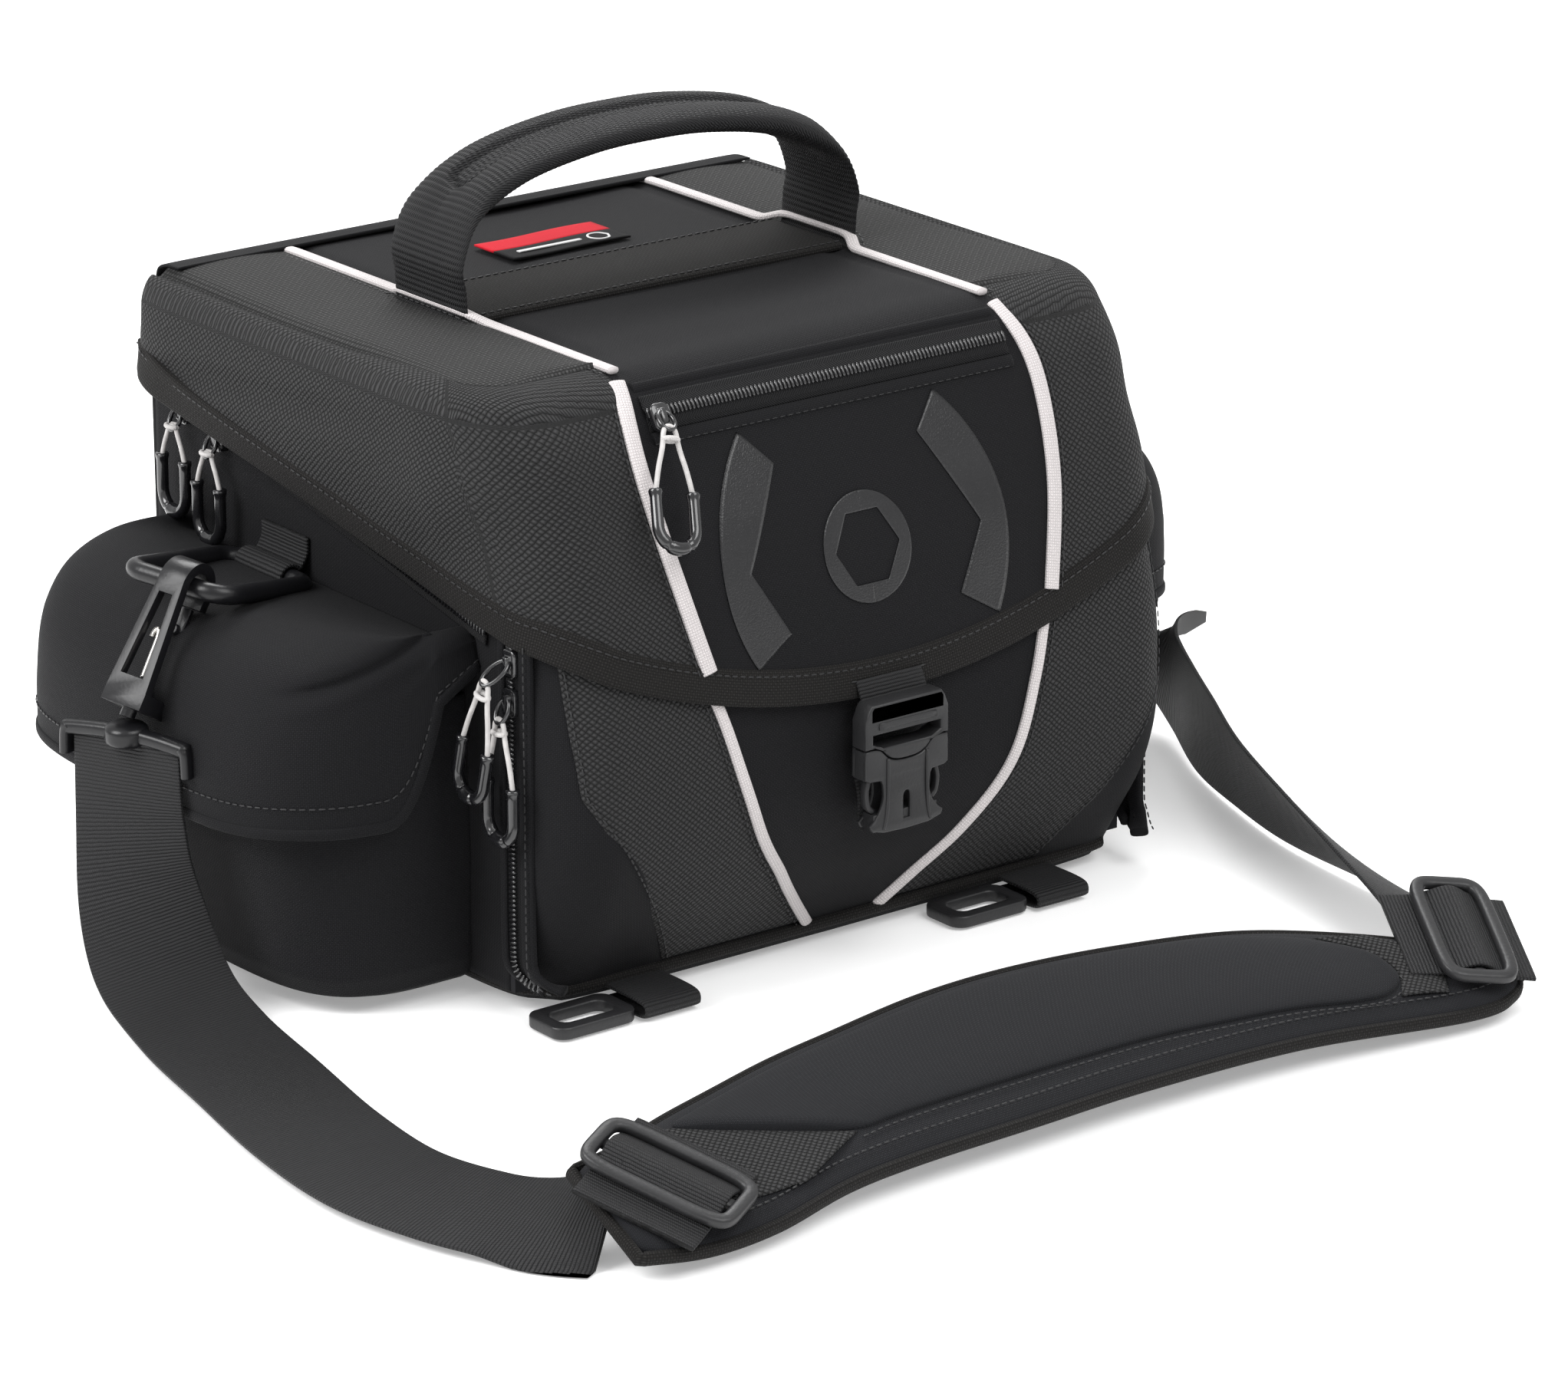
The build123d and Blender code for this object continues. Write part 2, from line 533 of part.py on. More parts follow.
def strap_webbing():
    """The 50 mm webbing from each hook, down to the surface in front, and along to the pad."""
    normal = pad_plane().z_dir
    slope = pad_plane().y_dir
    n = (normal.X, normal.Y, normal.Z)
    up = (slope.X, slope.Y, slope.Z)
    left = [((-251.5, -2, 100.8), (0.35, -0.937, 0), (0.937, 0.35, 0)),
            ((-253, -5, 70), (0.4, -0.92, 0), (0.9, 0.35, 0.2)),
            ((-257, -16, 42), (0.55, -0.83, 0), (0.75, 0.4, 0.45)),
            ((-262, -40, 19), (0.8, -0.6, 0), (0.45, 0.45, 0.75)),
            ((-267, -75, 9), (0.93, -0.28, 0.12), (0, 0.15, 1)),
            ((-276, -125, 7.5), (0.95, -0.15, 0.14), (-0.1, 0, 1)),
            ((-287, -180, 7.5), (0.96, -0.1, 0.14), (-0.1, 0, 1)),
            ((-291, -228, 7.5), (0.96, 0.1, 0.14), (-0.1, 0, 1)),
            ((-284, -266, 8), (0.85, 0.45, 0.16), (-0.1, -0.1, 1)),
            ((-274, -292, 9), (0.6, 0.75, 0.2), (-0.1, -0.2, 1))]
    end = pad_point(-262, 24, 1.4)
    left.append((end, up, n))
    right = [((251.5, -2, 100.8), (0.35, 0.937, 0), (-0.937, 0.35, 0)),
             ((253, -2, 70), (0.3, 0.95, 0), (-0.95, 0.3, 0)),
             ((256, -10, 47), (0.2, 0.7, 0.65), (-0.95, 0.3, 0)),
             ((250, -32, 31), (0.05, 0.25, 0.96), (-0.9, 0.4, 0)),
             ((232, -66, 27), (-0.05, 0.1, 0.99), (-0.88, 0.47, 0)),
             ((214, -105, 26.5), (-0.2, 0.1, 0.97), (-0.9, 0.4, -0.1)),
             ((196, -150, 25), (-0.4, 0.15, 0.9), (-0.9, 0.3, -0.4)),
             ((184, -200, 22.5), (-0.62, 0.2, 0.75), (-0.75, 0.2, -0.6)),
             ((176, -245, 19), (-0.78, 0.25, 0.55), (-0.5, 0.15, -0.8)),
             ((168, -283, 17), (-0.75, 0.55, 0.35), (-0.2, 0.2, -1))]
    end = pad_point(152, 34, 4.2)
    right.append((end, (-0.45, 0.84, 0.3), (-n[0], -n[1], -n[2])))
    save("strap_webbing_left", ribbon(left, WEB - 1, WEB_T))
    save("strap_webbing_right", ribbon(right, WEB - 1, WEB_T))


# ---- tripod straps under the base ---------------------------------------------------------------
def tripod_straps():
    """Two webbing loops under the front of the base, each with its slide."""
    straps = []
    slides = []
    for x in TRIPOD_X:
        y0, y1 = -150.0, -121.5
        loop = block((x - 13, x + 13), (y0, y1), (0.6, 2.6)) + block(
            (x - 13, x + 13), (y0, y1), (5.6, 7.6)) + block((x - 13, x + 13), (y0, y0 + 2), (0.6, 7.6))
        straps.append(loop)
        slide = rounded_block((x - 52, x - 14), (-148, -124), (0.6, 5.6), 6)
        hole = rounded_block((x - 46, x - 20), (-142, -130), (0, 7), 4)
        slides.append(slide - hole)
    save("tripod_straps", group(*straps))
    save("tripod_slides", group(*slides))


body_panels()
main_zip()
front_pocket()
body_piping()
lid_shell()
lid_trim()
handle()
buckle()
side_pockets()
strap_rings()
strap_hooks()
shoulder_pad()
strap_slides()
strap_webbing()
tripod_straps()
flap_place = Location(Plane(origin=(-83, -115.6, 226), x_dir=(1, 0, 0), z_dir=(0, 0.53, 0.848)))
pull_parts("flap_zip", flap_place, 54, tilt=17)
pull_parts("pocket_upper", side_place(-116.5, 143.5), 56, tilt=14, stand=7.6)
pull_parts("pocket_lower", side_place(-116.5, 128), 54)
pull_parts("main_rear", side_place(105, hem_z(105) - 9), 41)
pull_parts("main_front", side_place(80, hem_z(80) - 9), 41)
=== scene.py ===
# %% [markdown]
# # A padded shoulder bag for camera gear
# The bag is a box of padded nylon with a soft lid that folds over the front, a barrel pocket on
# each side, and a long shoulder strap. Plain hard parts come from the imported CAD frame. The sewn
# parts, the buckle and the strap's hooks are made here as surfaces worked out with numpy, in the
# same frame, in millimetres until the moment they become a mesh.

# %% Load the fixed frame
import math

import bpy
import bmesh
import numpy as np
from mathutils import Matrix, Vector


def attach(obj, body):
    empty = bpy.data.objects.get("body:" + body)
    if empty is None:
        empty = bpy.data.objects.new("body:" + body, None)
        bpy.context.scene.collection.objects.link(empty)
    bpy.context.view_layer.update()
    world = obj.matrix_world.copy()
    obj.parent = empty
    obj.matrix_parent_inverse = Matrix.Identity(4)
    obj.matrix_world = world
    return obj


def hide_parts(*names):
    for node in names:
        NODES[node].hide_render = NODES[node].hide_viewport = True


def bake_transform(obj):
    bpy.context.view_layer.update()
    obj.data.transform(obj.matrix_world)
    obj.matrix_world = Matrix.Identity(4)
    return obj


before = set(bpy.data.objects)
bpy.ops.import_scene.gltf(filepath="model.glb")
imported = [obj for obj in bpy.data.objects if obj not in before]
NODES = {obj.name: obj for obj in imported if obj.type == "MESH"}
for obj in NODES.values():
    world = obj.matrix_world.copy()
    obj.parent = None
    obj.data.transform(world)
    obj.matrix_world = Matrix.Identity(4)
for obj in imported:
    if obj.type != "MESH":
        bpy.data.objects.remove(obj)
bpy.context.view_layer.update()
MM = 0.001
SIDES = {"left": -1.0, "right": 1.0}

# %% [markdown]
# ## Camera and light
# The camera has a long lens and looks from a little above the lid. It stands on a direction given
# by two angles: how far round to the left, and how far up. Big soft lamps and a bright, even room keep black cloth readable on a white floor.

# %% Camera
AZIMUTH = math.radians(-37.73)
ELEVATION = math.radians(18.94)
TARGET = Vector((0.0836, 0.022, 0.0456))
toward_camera = Vector((math.sin(AZIMUTH) * math.cos(ELEVATION),
                        -math.cos(AZIMUTH) * math.cos(ELEVATION), math.sin(ELEVATION)))
camera = bpy.data.objects.new("camera", bpy.data.cameras.new("camera"))
camera.data.lens = 158.5
camera.data.sensor_width = 36.0
camera.data.clip_end = 30.0
DISTANCE = 2.86   # metres
camera.location = TARGET + toward_camera * DISTANCE
camera.rotation_euler = (-toward_camera).to_track_quat("-Z", "Y").to_euler()
bpy.context.scene.collection.objects.link(camera)
bpy.context.scene.camera = camera
print("camera at", [round(c, 3) for c in camera.location])


# %% Lamps, room and floor
def softbox(name, azimuth, elevation, distance, size, power):
    """A square lamp on a direction round the bag, turned to its middle."""
    a, e = math.radians(azimuth), math.radians(elevation)
    away = Vector((math.sin(a) * math.cos(e), -math.cos(a) * math.cos(e), math.sin(e)))
    lamp = bpy.data.objects.new(name, bpy.data.lights.new(name, "AREA"))
    lamp.data.shape = "SQUARE"
    lamp.data.size = size
    lamp.data.energy = power
    lamp.location = Vector((0, 0, 0.12)) + away * distance
    lamp.rotation_euler = (-away).to_track_quat("-Z", "Y").to_euler()
    bpy.context.scene.collection.objects.link(lamp)
    return lamp


softbox("lamp_left", -100, 38, 1.7, 0.9, 26)
softbox("lamp_front", 8, 50, 2.0, 1.2, 22)
softbox("lamp_back", 150, 55, 1.9, 1.0, 24)
bpy.context.scene.view_settings.view_transform = "Standard"
room = bpy.data.worlds.new("room")
room.use_nodes = True
room.node_tree.nodes["Background"].inputs["Color"].default_value = (1, 1, 1, 1)
room.node_tree.nodes["Background"].inputs["Strength"].default_value = 0.8
bpy.context.scene.world = room

FLOOR_HALF, FLOOR_Z = 9, -0.0004   # metres: the floor lies a hair below the bag
floor_mesh = bpy.data.meshes.new("floor")
floor_mesh.from_pydata([(x * FLOOR_HALF, y * FLOOR_HALF, FLOOR_Z)
                        for x, y in ((-1, -1), (1, -1), (1, 1), (-1, 1))], [], [(0, 1, 2, 3)])
floor = bpy.data.objects.new("floor", floor_mesh)
bpy.context.scene.collection.objects.link(floor)
print("three lamps, a room and a floor")

# %% [markdown]
# ## Finishes
# Cloth is threads. Every sewn piece carries a map of its own flat cloth in metres, so a thread
# pattern keeps its true size and follows the piece. The patterns are sums and products of sines of
# that map: a plain weave, a diamond knit, ribbed webbing. Each one drives the colour, the gloss
# and a small bump together. The colour darkens where the threads lie low, which is painted shade
# in the grooves and holes between threads. A slow noise over the bag stands for handling and dust.


# %% Small tools for node trees
def node(tree, kind, values=None, **settings):
    """Adds a node. values gives its sockets: a socket is linked, a number or colour is set."""
    made = tree.nodes.new(kind)
    for key, value in settings.items():
        setattr(made, key, value)
    for key, value in (values or {}).items():
        if isinstance(value, bpy.types.NodeSocket):
            tree.links.new(value, made.inputs[key])
        else:
            made.inputs[key].default_value = value
    return made


def calc(tree, operation, a, b=0.0, c=0.0):
    """One sum on numbers, as a Math node, and its answer's socket."""
    return node(tree, "ShaderNodeMath", {0: a, 1: b, 2: c}, operation=operation).outputs[0]


# %% Thread patterns
def ridge(tree, along, pitch):
    """The wave sin(pi * along / pitch) and its size without sign: one smooth thread per pitch."""
    wave = calc(tree, "SINE", calc(tree, "MULTIPLY", along, math.pi / (pitch * MM)))
    return wave, calc(tree, "ABSOLUTE", wave)


def plain_weave(tree, u, v, pitch):
    """Threads over and under each other: |sin u||sin v| plus a chequer of high and low."""
    su, au = ridge(tree, u, pitch)
    sv, av = ridge(tree, v, pitch)
    low = calc(tree, "MULTIPLY", calc(tree, "MULTIPLY", su, sv), 0.3)
    return calc(tree, "ADD", calc(tree, "MULTIPLY", au, av), low)


def diamond_knit(tree, u, v, pitch):
    """A knit of slanted cells, a pitch wide and a little less high: two slanting ridges at once."""
    one = calc(tree, "ADD", u, calc(tree, "MULTIPLY", v, 1.2))
    two = calc(tree, "SUBTRACT", u, calc(tree, "MULTIPLY", v, 1.2))
    a = ridge(tree, one, pitch)[1]
    b = ridge(tree, two, pitch)[1]
    return calc(tree, "POWER", calc(tree, "MULTIPLY", a, b), 0.7)


def cross_ribs(tree, u, v, pitch):
    """Ribs across the tape, each made of short threads that shift from rib to rib."""
    rib = ridge(tree, v, pitch)[1]
    thread = ridge(tree, calc(tree, "ADD", u, calc(tree, "MULTIPLY", v, 0.5)), pitch * 0.55)[1]
    return calc(tree, "ADD", calc(tree, "MULTIPLY", calc(tree, "POWER", rib, 0.6), 0.8),
                calc(tree, "MULTIPLY", thread, 0.25))


def slanted(tree, u, v, pitch):
    """Short threads that slant across a rib."""
    return ridge(tree, calc(tree, "ADD", u, calc(tree, "MULTIPLY", v, 0.6)), pitch)[1]


def herringbone(tree, u, v, pitch):
    """Slanting threads that turn at each column, as on zip tape."""
    fold = calc(tree, "PINGPONG", u, pitch * 2.2 * MM)
    return ridge(tree, calc(tree, "ADD", v, fold), pitch)[1]


# %% The cloth recipe
def cloth(name, colour, pattern, pitch, bump=0.5, rough=0.82, sheen=0.02, gloss=0.14, dark=0.45,
          wear=0.06):
    """A cloth finish: pattern(tree, u, v, pitch) is the height of its threads from 0 to 1."""
    made = bpy.data.materials.new(name)
    made.use_nodes = True
    tree = made.node_tree
    shader = tree.nodes["Principled BSDF"]
    flat = node(tree, "ShaderNodeUVMap", uv_map="cloth").outputs["UV"]
    split = node(tree, "ShaderNodeSeparateXYZ", {0: flat})
    place = node(tree, "ShaderNodeTexCoord").outputs["Object"]
    drift = node(tree, "ShaderNodeTexNoise", {"Vector": place, "Scale": 260.0, "Detail": 2.0})
    slip = calc(tree, "MULTIPLY", calc(tree, "SUBTRACT", drift.outputs[0], 0.5), pitch * 0.35 * MM)
    u = calc(tree, "ADD", split.outputs[0], slip)
    v = calc(tree, "ADD", split.outputs[1], slip)
    height = pattern(tree, u, v, pitch)
    broad = node(tree, "ShaderNodeTexNoise", {"Vector": place, "Scale": 9.0, "Detail": 4.0})
    fine = node(tree, "ShaderNodeTexNoise", {"Vector": place, "Scale": 900.0, "Detail": 1.0})
    dust = calc(tree, "MULTIPLY", calc(tree, "POWER", fine.outputs[0], 9.0), wear * 30.0)
    # Painted shade: where the threads lie low, in the grooves and holes between them, the colour falls to
    # dark times the base colour.
    shade = calc(tree, "MULTIPLY_ADD", height, 1.0 - dark, dark)
    shade = calc(tree, "MULTIPLY", shade, calc(tree, "MULTIPLY_ADD", broad.outputs[0], 0.5, 0.75))
    shade = calc(tree, "ADD", shade, dust)
    base = node(tree, "ShaderNodeMix", {"Factor": shade, "A": (0, 0, 0, 1), "B": (*colour, 1)},
                data_type="RGBA", clamp_factor=False)
    tree.links.new(base.outputs["Result"], shader.inputs["Base Color"])
    matt = calc(tree, "MULTIPLY_ADD", broad.outputs[0], 0.16, rough - 0.08)
    tree.links.new(calc(tree, "MULTIPLY_ADD", height, -0.1, matt), shader.inputs["Roughness"])
    lift = node(tree, "ShaderNodeBump", {"Height": height, "Strength": bump,
                                         "Distance": pitch * 0.4 * MM})
    tree.links.new(lift.outputs[0], shader.inputs["Normal"])
    shader.inputs["Specular IOR Level"].default_value = gloss
    shader.inputs["Sheen Weight"].default_value = sheen
    shader.inputs["Sheen Roughness"].default_value = 0.45
    return made


NYLON = cloth("black_nylon", (0.0085, 0.0085, 0.0098), plain_weave, 0.75, bump=0.5)
MESH = cloth("diamond_mesh", (0.036, 0.036, 0.037), diamond_knit, 2.9, bump=1.0, dark=0.05,
             sheen=0.03, gloss=0.22, wear=0.0)
FINE_MESH = cloth("fine_mesh", (0.036, 0.036, 0.036), plain_weave, 1.7, bump=0.8, dark=0.2,
                  sheen=0.03, gloss=0.2, wear=0.0)
CANVAS = cloth("binding_canvas", (0.0165, 0.0155, 0.0148), plain_weave, 1.1, bump=0.7, dark=0.35)
PIPING = cloth("white_piping", (0.66, 0.62, 0.62), plain_weave, 1.1, bump=0.7, dark=0.72,
               sheen=0.1, wear=0.0)
WEBBING = cloth("ribbed_webbing", (0.014, 0.014, 0.015), cross_ribs, 1.45, bump=1.0, dark=0.2,
                gloss=0.22, rough=0.62)
HANDLE_WEB = cloth("handle_webbing", (0.0125, 0.0125, 0.0135), slanted, 1.1, bump=0.8, dark=0.45,
                   gloss=0.22, rough=0.62)
ZIP_TAPE = cloth("zip_tape", (0.010, 0.010, 0.011), herringbone, 1.2, bump=0.8, dark=0.3)
PAD_CLOTH = cloth("pad_cloth", (0.0135, 0.014, 0.0165), plain_weave, 0.8, bump=0.5, dark=0.5,
                  sheen=0.05)
LINING = cloth("lining", (0.03, 0.03, 0.034), plain_weave, 0.6, bump=0.3)
THREAD = cloth("thread", (0.014, 0.014, 0.015), cross_ribs, 0.5, bump=0.6, gloss=0.4, rough=0.5)
CORD = cloth("elastic_cord", (0.62, 0.6, 0.59), herringbone, 0.5, bump=0.8, dark=0.7, sheen=0.05,
             wear=0.0)
LABEL_RED = cloth("label_red", (0.55, 0.012, 0.025), plain_weave, 0.5, bump=0.4, dark=0.75,
                  wear=0.0)
LABEL_BLACK = cloth("label_black", (0.006, 0.006, 0.007), plain_weave, 0.5, bump=0.4)
LABEL_WHITE = cloth("label_white", (0.7, 0.7, 0.7), plain_weave, 0.5, bump=0.4, dark=0.8,
                    wear=0.0)


# %% Moulded and metal finishes
def moulded(name, colour, rough, grain=0.15, scale=700.0, metal=0.0, coat=0.0, gloss=0.5,
            uneven=0.6):
    """Plastic, rubber or metal: fine grain in the surface, gloss and colour that vary slowly."""
    made = bpy.data.materials.new(name)
    made.use_nodes = True
    tree = made.node_tree
    shader = tree.nodes["Principled BSDF"]
    place = node(tree, "ShaderNodeTexCoord").outputs["Object"]
    speck = node(tree, "ShaderNodeTexNoise", {"Vector": place, "Scale": scale, "Detail": 2.0})
    broad = node(tree, "ShaderNodeTexNoise", {"Vector": place, "Scale": 40.0, "Detail": 5.0})
    shade = calc(tree, "MULTIPLY_ADD", broad.outputs[0], uneven, 1.0 - uneven / 2)
    base = node(tree, "ShaderNodeMix", {"Factor": shade, "A": (0, 0, 0, 1), "B": (*colour, 1)},
                data_type="RGBA", clamp_factor=False)
    tree.links.new(base.outputs["Result"], shader.inputs["Base Color"])
    tree.links.new(calc(tree, "MULTIPLY_ADD", broad.outputs[0], 0.2, rough - 0.1),
                   shader.inputs["Roughness"])
    lift = node(tree, "ShaderNodeBump", {"Height": speck.outputs[0], "Strength": grain,
                                         "Distance": 0.0004})
    tree.links.new(lift.outputs[0], shader.inputs["Normal"])
    shader.inputs["Metallic"].default_value = metal
    shader.inputs["Coat Weight"].default_value = coat
    shader.inputs["Coat Roughness"].default_value = 0.12
    shader.inputs["Specular IOR Level"].default_value = gloss
    return made


BUCKLE_PLASTIC = moulded("buckle_plastic", (0.016, 0.016, 0.017), 0.42, grain=0.3, gloss=0.4)
HOOK_PLASTIC = moulded("hook_plastic", (0.006, 0.006, 0.007), 0.34, grain=0.15, gloss=0.35)
STEEL = moulded("gate_steel", (0.62, 0.6, 0.57), 0.22, grain=0.1, metal=1.0)
SLIDER_METAL = moulded("slider_black", (0.008, 0.008, 0.009), 0.2, grain=0.05, coat=0.8)
RUBBER = moulded("grip_rubber", (0.007, 0.007, 0.008), 0.2, grain=0.05, coat=0.5)
RAISED_INK = moulded("gloss_ink", (0.006, 0.006, 0.007), 0.3, grain=0.5, scale=1400.0, gloss=0.5)
FLOOR_PAINT = moulded("floor_paint", (0.86, 0.86, 0.86), 0.8, grain=0.0, gloss=0.1, uneven=0.0)
lit = FLOOR_PAINT.node_tree.nodes["Principled BSDF"].inputs
lit["Emission Color"].default_value = (1, 1, 1, 1)
lit["Emission Strength"].default_value = 0.28
floor_mesh.materials.append(FLOOR_PAINT)
print("finishes:", len(bpy.data.materials))

# %% [markdown]
# ## Surfaces from grids
# A sewn panel is a sheet, so its natural description is a grid: two parameters go in, a point in
# space comes out. The whole grid is worked out as one array and handed to the mesh. The same call
# lays out the cloth map from the arc lengths of the grid.


# %% Grids to meshes
def xyz(x, y, z):
    """Points from their three coordinates, each a number or an array that fits the others."""
    return np.stack(np.broadcast_arrays(x, y, z), -1)


def read_at(at, run, values):
    """Each column of values, known at the lengths run, read off at other lengths."""
    return np.stack([np.interp(at, run, column) for column in values.T], -1)


def arc(points, axis=0):
    """Running length along one axis of an array of points."""
    step = np.linalg.norm(np.diff(points, axis=axis), axis=-1)
    start = np.zeros_like(np.take(step, [0], axis=axis))
    return np.concatenate([start, np.cumsum(step, axis=axis)], axis=axis)


def smooth(points, n):
    """Curve through the points, n samples evenly spaced: a cubic on each four neighbours."""
    p = np.asarray(points, float)
    q = np.vstack([2 * p[0] - p[1], p, 2 * p[-1] - p[-2]])
    k = np.linspace(0, len(p) - 1, 24 * (len(p) - 1) + 1)
    i = np.minimum(k.astype(int), len(p) - 2)
    t = (k - i)[:, None]
    a, b, c, d = q[i], q[i + 1], q[i + 2], q[i + 3]
    curve = 0.5 * (2 * b + (c - a) * t + (2 * a - 5 * b + 4 * c - d) * t ** 2
                   + (3 * b - a - 3 * c + d) * t ** 3)
    length = arc(curve)
    at = np.linspace(0, length[-1], n)
    return read_at(at, length, curve)


def unit(v):
    """Vectors divided by their own lengths, so that each is one long."""
    return v / np.maximum(np.linalg.norm(v, axis=-1, keepdims=True), 1e-9)


# %% From a grid to a mesh
def make_piece(name, points, faces, flat, material, smooth_faces=True):
    """Hands points in millimetres, faces and the cloth map of every face corner to a new mesh."""
    mesh = bpy.data.meshes.new(name)
    mesh.from_pydata((np.asarray(points).reshape(-1, 3) * MM).tolist(), [], faces)
    layer = mesh.uv_layers.new(name="cloth")
    layer.data.foreach_set("uv", (np.asarray(flat, np.float32) * MM).ravel())
    mesh.polygons.foreach_set("use_smooth", [smooth_faces] * len(mesh.polygons))
    mesh.materials.append(material)
    piece = bpy.data.objects.new(name, mesh)
    bpy.context.scene.collection.objects.link(piece)
    return piece


def surface(name, grid, material, loop=False, ends=False, inside=None, flat=None):
    """A grid of points as faces. loop joins the last column to the first, ends closes the first
    and last row. Faces turn away from the point inside, or outwards where the piece is closed."""
    nu, nv = grid.shape[:2]
    ring = np.concatenate([grid, grid[:, :1]], 1) if loop else grid
    if flat is None:
        along = np.median(arc(ring, 0), axis=1)[:, None] + np.zeros(ring.shape[1])
        flat = np.stack([np.median(arc(ring, 1), axis=0) + np.zeros((nu, 1)), along], -1)
    i, j = np.meshgrid(np.arange(nu - 1), np.arange(ring.shape[1] - 1), indexing="ij")
    corners = [(i, j), (i, j + 1), (i + 1, j + 1), (i + 1, j)]
    faces = np.stack([a * nv + b % nv for a, b in corners], -1).reshape(-1, 4)
    maps = np.stack([flat[a, b] for a, b in corners], -2).reshape(-1, 4, 2)
    a, b, c, d = (grid.reshape(-1, 3)[faces[:, k]] for k in range(4))
    middle = (a + b + c + d) / 4
    centre = grid.reshape(-1, 3).mean(0) if inside is None else np.asarray(inside, float)
    turn = np.cross(c - a, d - b)
    outward = (turn * (middle - centre)).sum(-1).sum()
    if inside is None and loop:
        outward = signed_volume(grid)
    if outward < 0:
        faces, maps = faces[:, ::-1], maps[:, ::-1]
    faces, maps = faces.tolist(), maps.reshape(-1, 2)
    if ends:
        first, last = list(range(nv)), list(range((nu - 1) * nv, nu * nv))
        faces += [first[::-1], last] if outward >= 0 else [first, last[::-1]]
        maps = np.vstack([maps] + [flat.reshape(-1, 2)[:1].repeat(nv, 0)] * 2)
    return make_piece(name, grid, faces, maps, material)


def signed_volume(grid):
    """Volume inside a tube of points, negative where its faces would point inwards."""
    p = np.concatenate([grid, grid[:, :1]], 1)
    centre = grid.mean(1, keepdims=True)
    a, b, c = p[:-1, :-1], p[:-1, 1:], p[1:, :-1]
    outward = np.cross(b - a, c - a) * (a - centre[:-1])
    return outward.sum()


# %% Thickness, and a place on a body
def thicken(piece, thickness, offset=-1.0, rounds=0):
    """Gives a sheet its thickness with Solidify, softens it, and applies that."""
    wall = piece.modifiers.new("thickness", "SOLIDIFY")
    wall.thickness = thickness * MM
    wall.offset = offset
    if rounds:
        soft = piece.modifiers.new("soft", "SUBSURF")
        soft.levels = soft.render_levels = rounds
    return applied(piece)


def applied(piece):
    """The piece with its modifiers worked into its mesh."""
    graph = bpy.context.evaluated_depsgraph_get()
    mesh = bpy.data.meshes.new_from_object(piece.evaluated_get(graph))
    piece.modifiers.clear()
    piece.data = mesh
    return piece


def place(piece, body, slot, *nodes):
    """Puts the piece on its CAD body and hides the CAD nodes that it stands for; slot is not used."""
    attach(piece, body)
    if nodes:
        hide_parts(*nodes)
    return piece


def cloth_panel(name, grid, material, thickness, body, slot, *nodes, inside=(0, 0, 90), flat=None):
    """A sheet of cloth with its thickness, put on its body."""
    piece = surface(name, grid, material, inside=inside, flat=flat)
    return place(thicken(piece, thickness), body, slot, *nodes)


# %% Sections carried along a path
def oval(width, height, n=20, square=2.0):
    """Closed section: a superellipse with the given full width and height."""
    t = np.linspace(0, 2 * math.pi, n, endpoint=False)
    c, s = np.cos(t), np.sin(t)
    return np.stack([np.sign(c) * np.abs(c) ** (2 / square) * width / 2,
                     np.sign(s) * np.abs(s) ** (2 / square) * height / 2], -1)


def set_out(path, tangent, across, section):
    """Section points at each station: centre + across * s + normal * h, where normal is square
    to both the path and across."""
    across = np.broadcast_to(np.asarray(across, float), path.shape)
    across = unit(across - tangent * (across * tangent).sum(-1, keepdims=True))
    normal = np.cross(tangent, across)
    return path[:, None] + across[:, None] * section[..., :1] + normal[:, None] * section[..., 1:]


def carried(path, across, section):
    """A section set out along an open path. It is one (m, 2) outline, or one for each station."""
    path = np.asarray(path, float)
    section = np.broadcast_to(section, (len(path),) + np.shape(section)[-2:])
    return set_out(path, unit(np.gradient(path, axis=0)), across, section)


def closed_strip(name, path, across, section, material, body, slot, *nodes):
    """A strip, tape or bar with flat ends: a section carried along a path, put on its body."""
    piece = surface(name, carried(path, across, section), material, loop=True, ends=True)
    return place(piece, body, slot, *nodes)


def tube(name, path, radius, across, material, sides=14, ends=True):
    """A round bar along a path, its radius a number or one for each station."""
    radius = np.broadcast_to(radius, (len(path),))
    section = oval(2, 2, sides)[None] * radius[:, None, None]
    return surface(name, carried(path, across, section), material, loop=True, ends=ends)


def ring_bar(name, path, across, section, material):
    """A closed loop with a closed section: the path's last station meets its first."""
    path = np.asarray(path, float)
    tangent = unit(np.roll(path, -1, 0) - np.roll(path, 1, 0))
    grid = set_out(path, tangent, across, section[None])
    grid = np.concatenate([grid, grid[:1]], 0)
    piece = surface(name, grid, material, loop=True)
    bm = bmesh.new()
    bm.from_mesh(piece.data)
    bmesh.ops.remove_doubles(bm, verts=bm.verts, dist=1e-6)
    bm.to_mesh(piece.data)
    bm.free()
    return piece


# %% Rows of small shapes: stitches and zip teeth
def repeated(name, shape, faces, centres, along, normal, material):
    """The same small shape at many places: centre + x * along + y * side + z * normal."""
    along, normal = unit(np.asarray(along, float)), np.asarray(normal, float)
    normal = unit(normal - along * (normal * along).sum(-1, keepdims=True))
    side = np.cross(normal, along)
    points = (centres[:, None] + shape[None, :, :1] * along[:, None]
              + shape[None, :, 1:2] * side[:, None] + shape[None, :, 2:] * normal[:, None])
    faces = np.asarray(faces)
    first = np.arange(len(centres))[:, None, None] * len(shape)
    every = (first + faces[None]).reshape(-1, faces.shape[1])
    flat = np.tile(shape[faces.ravel()][:, :2], (len(centres), 1))
    return make_piece(name, points, every.tolist(), flat, material)


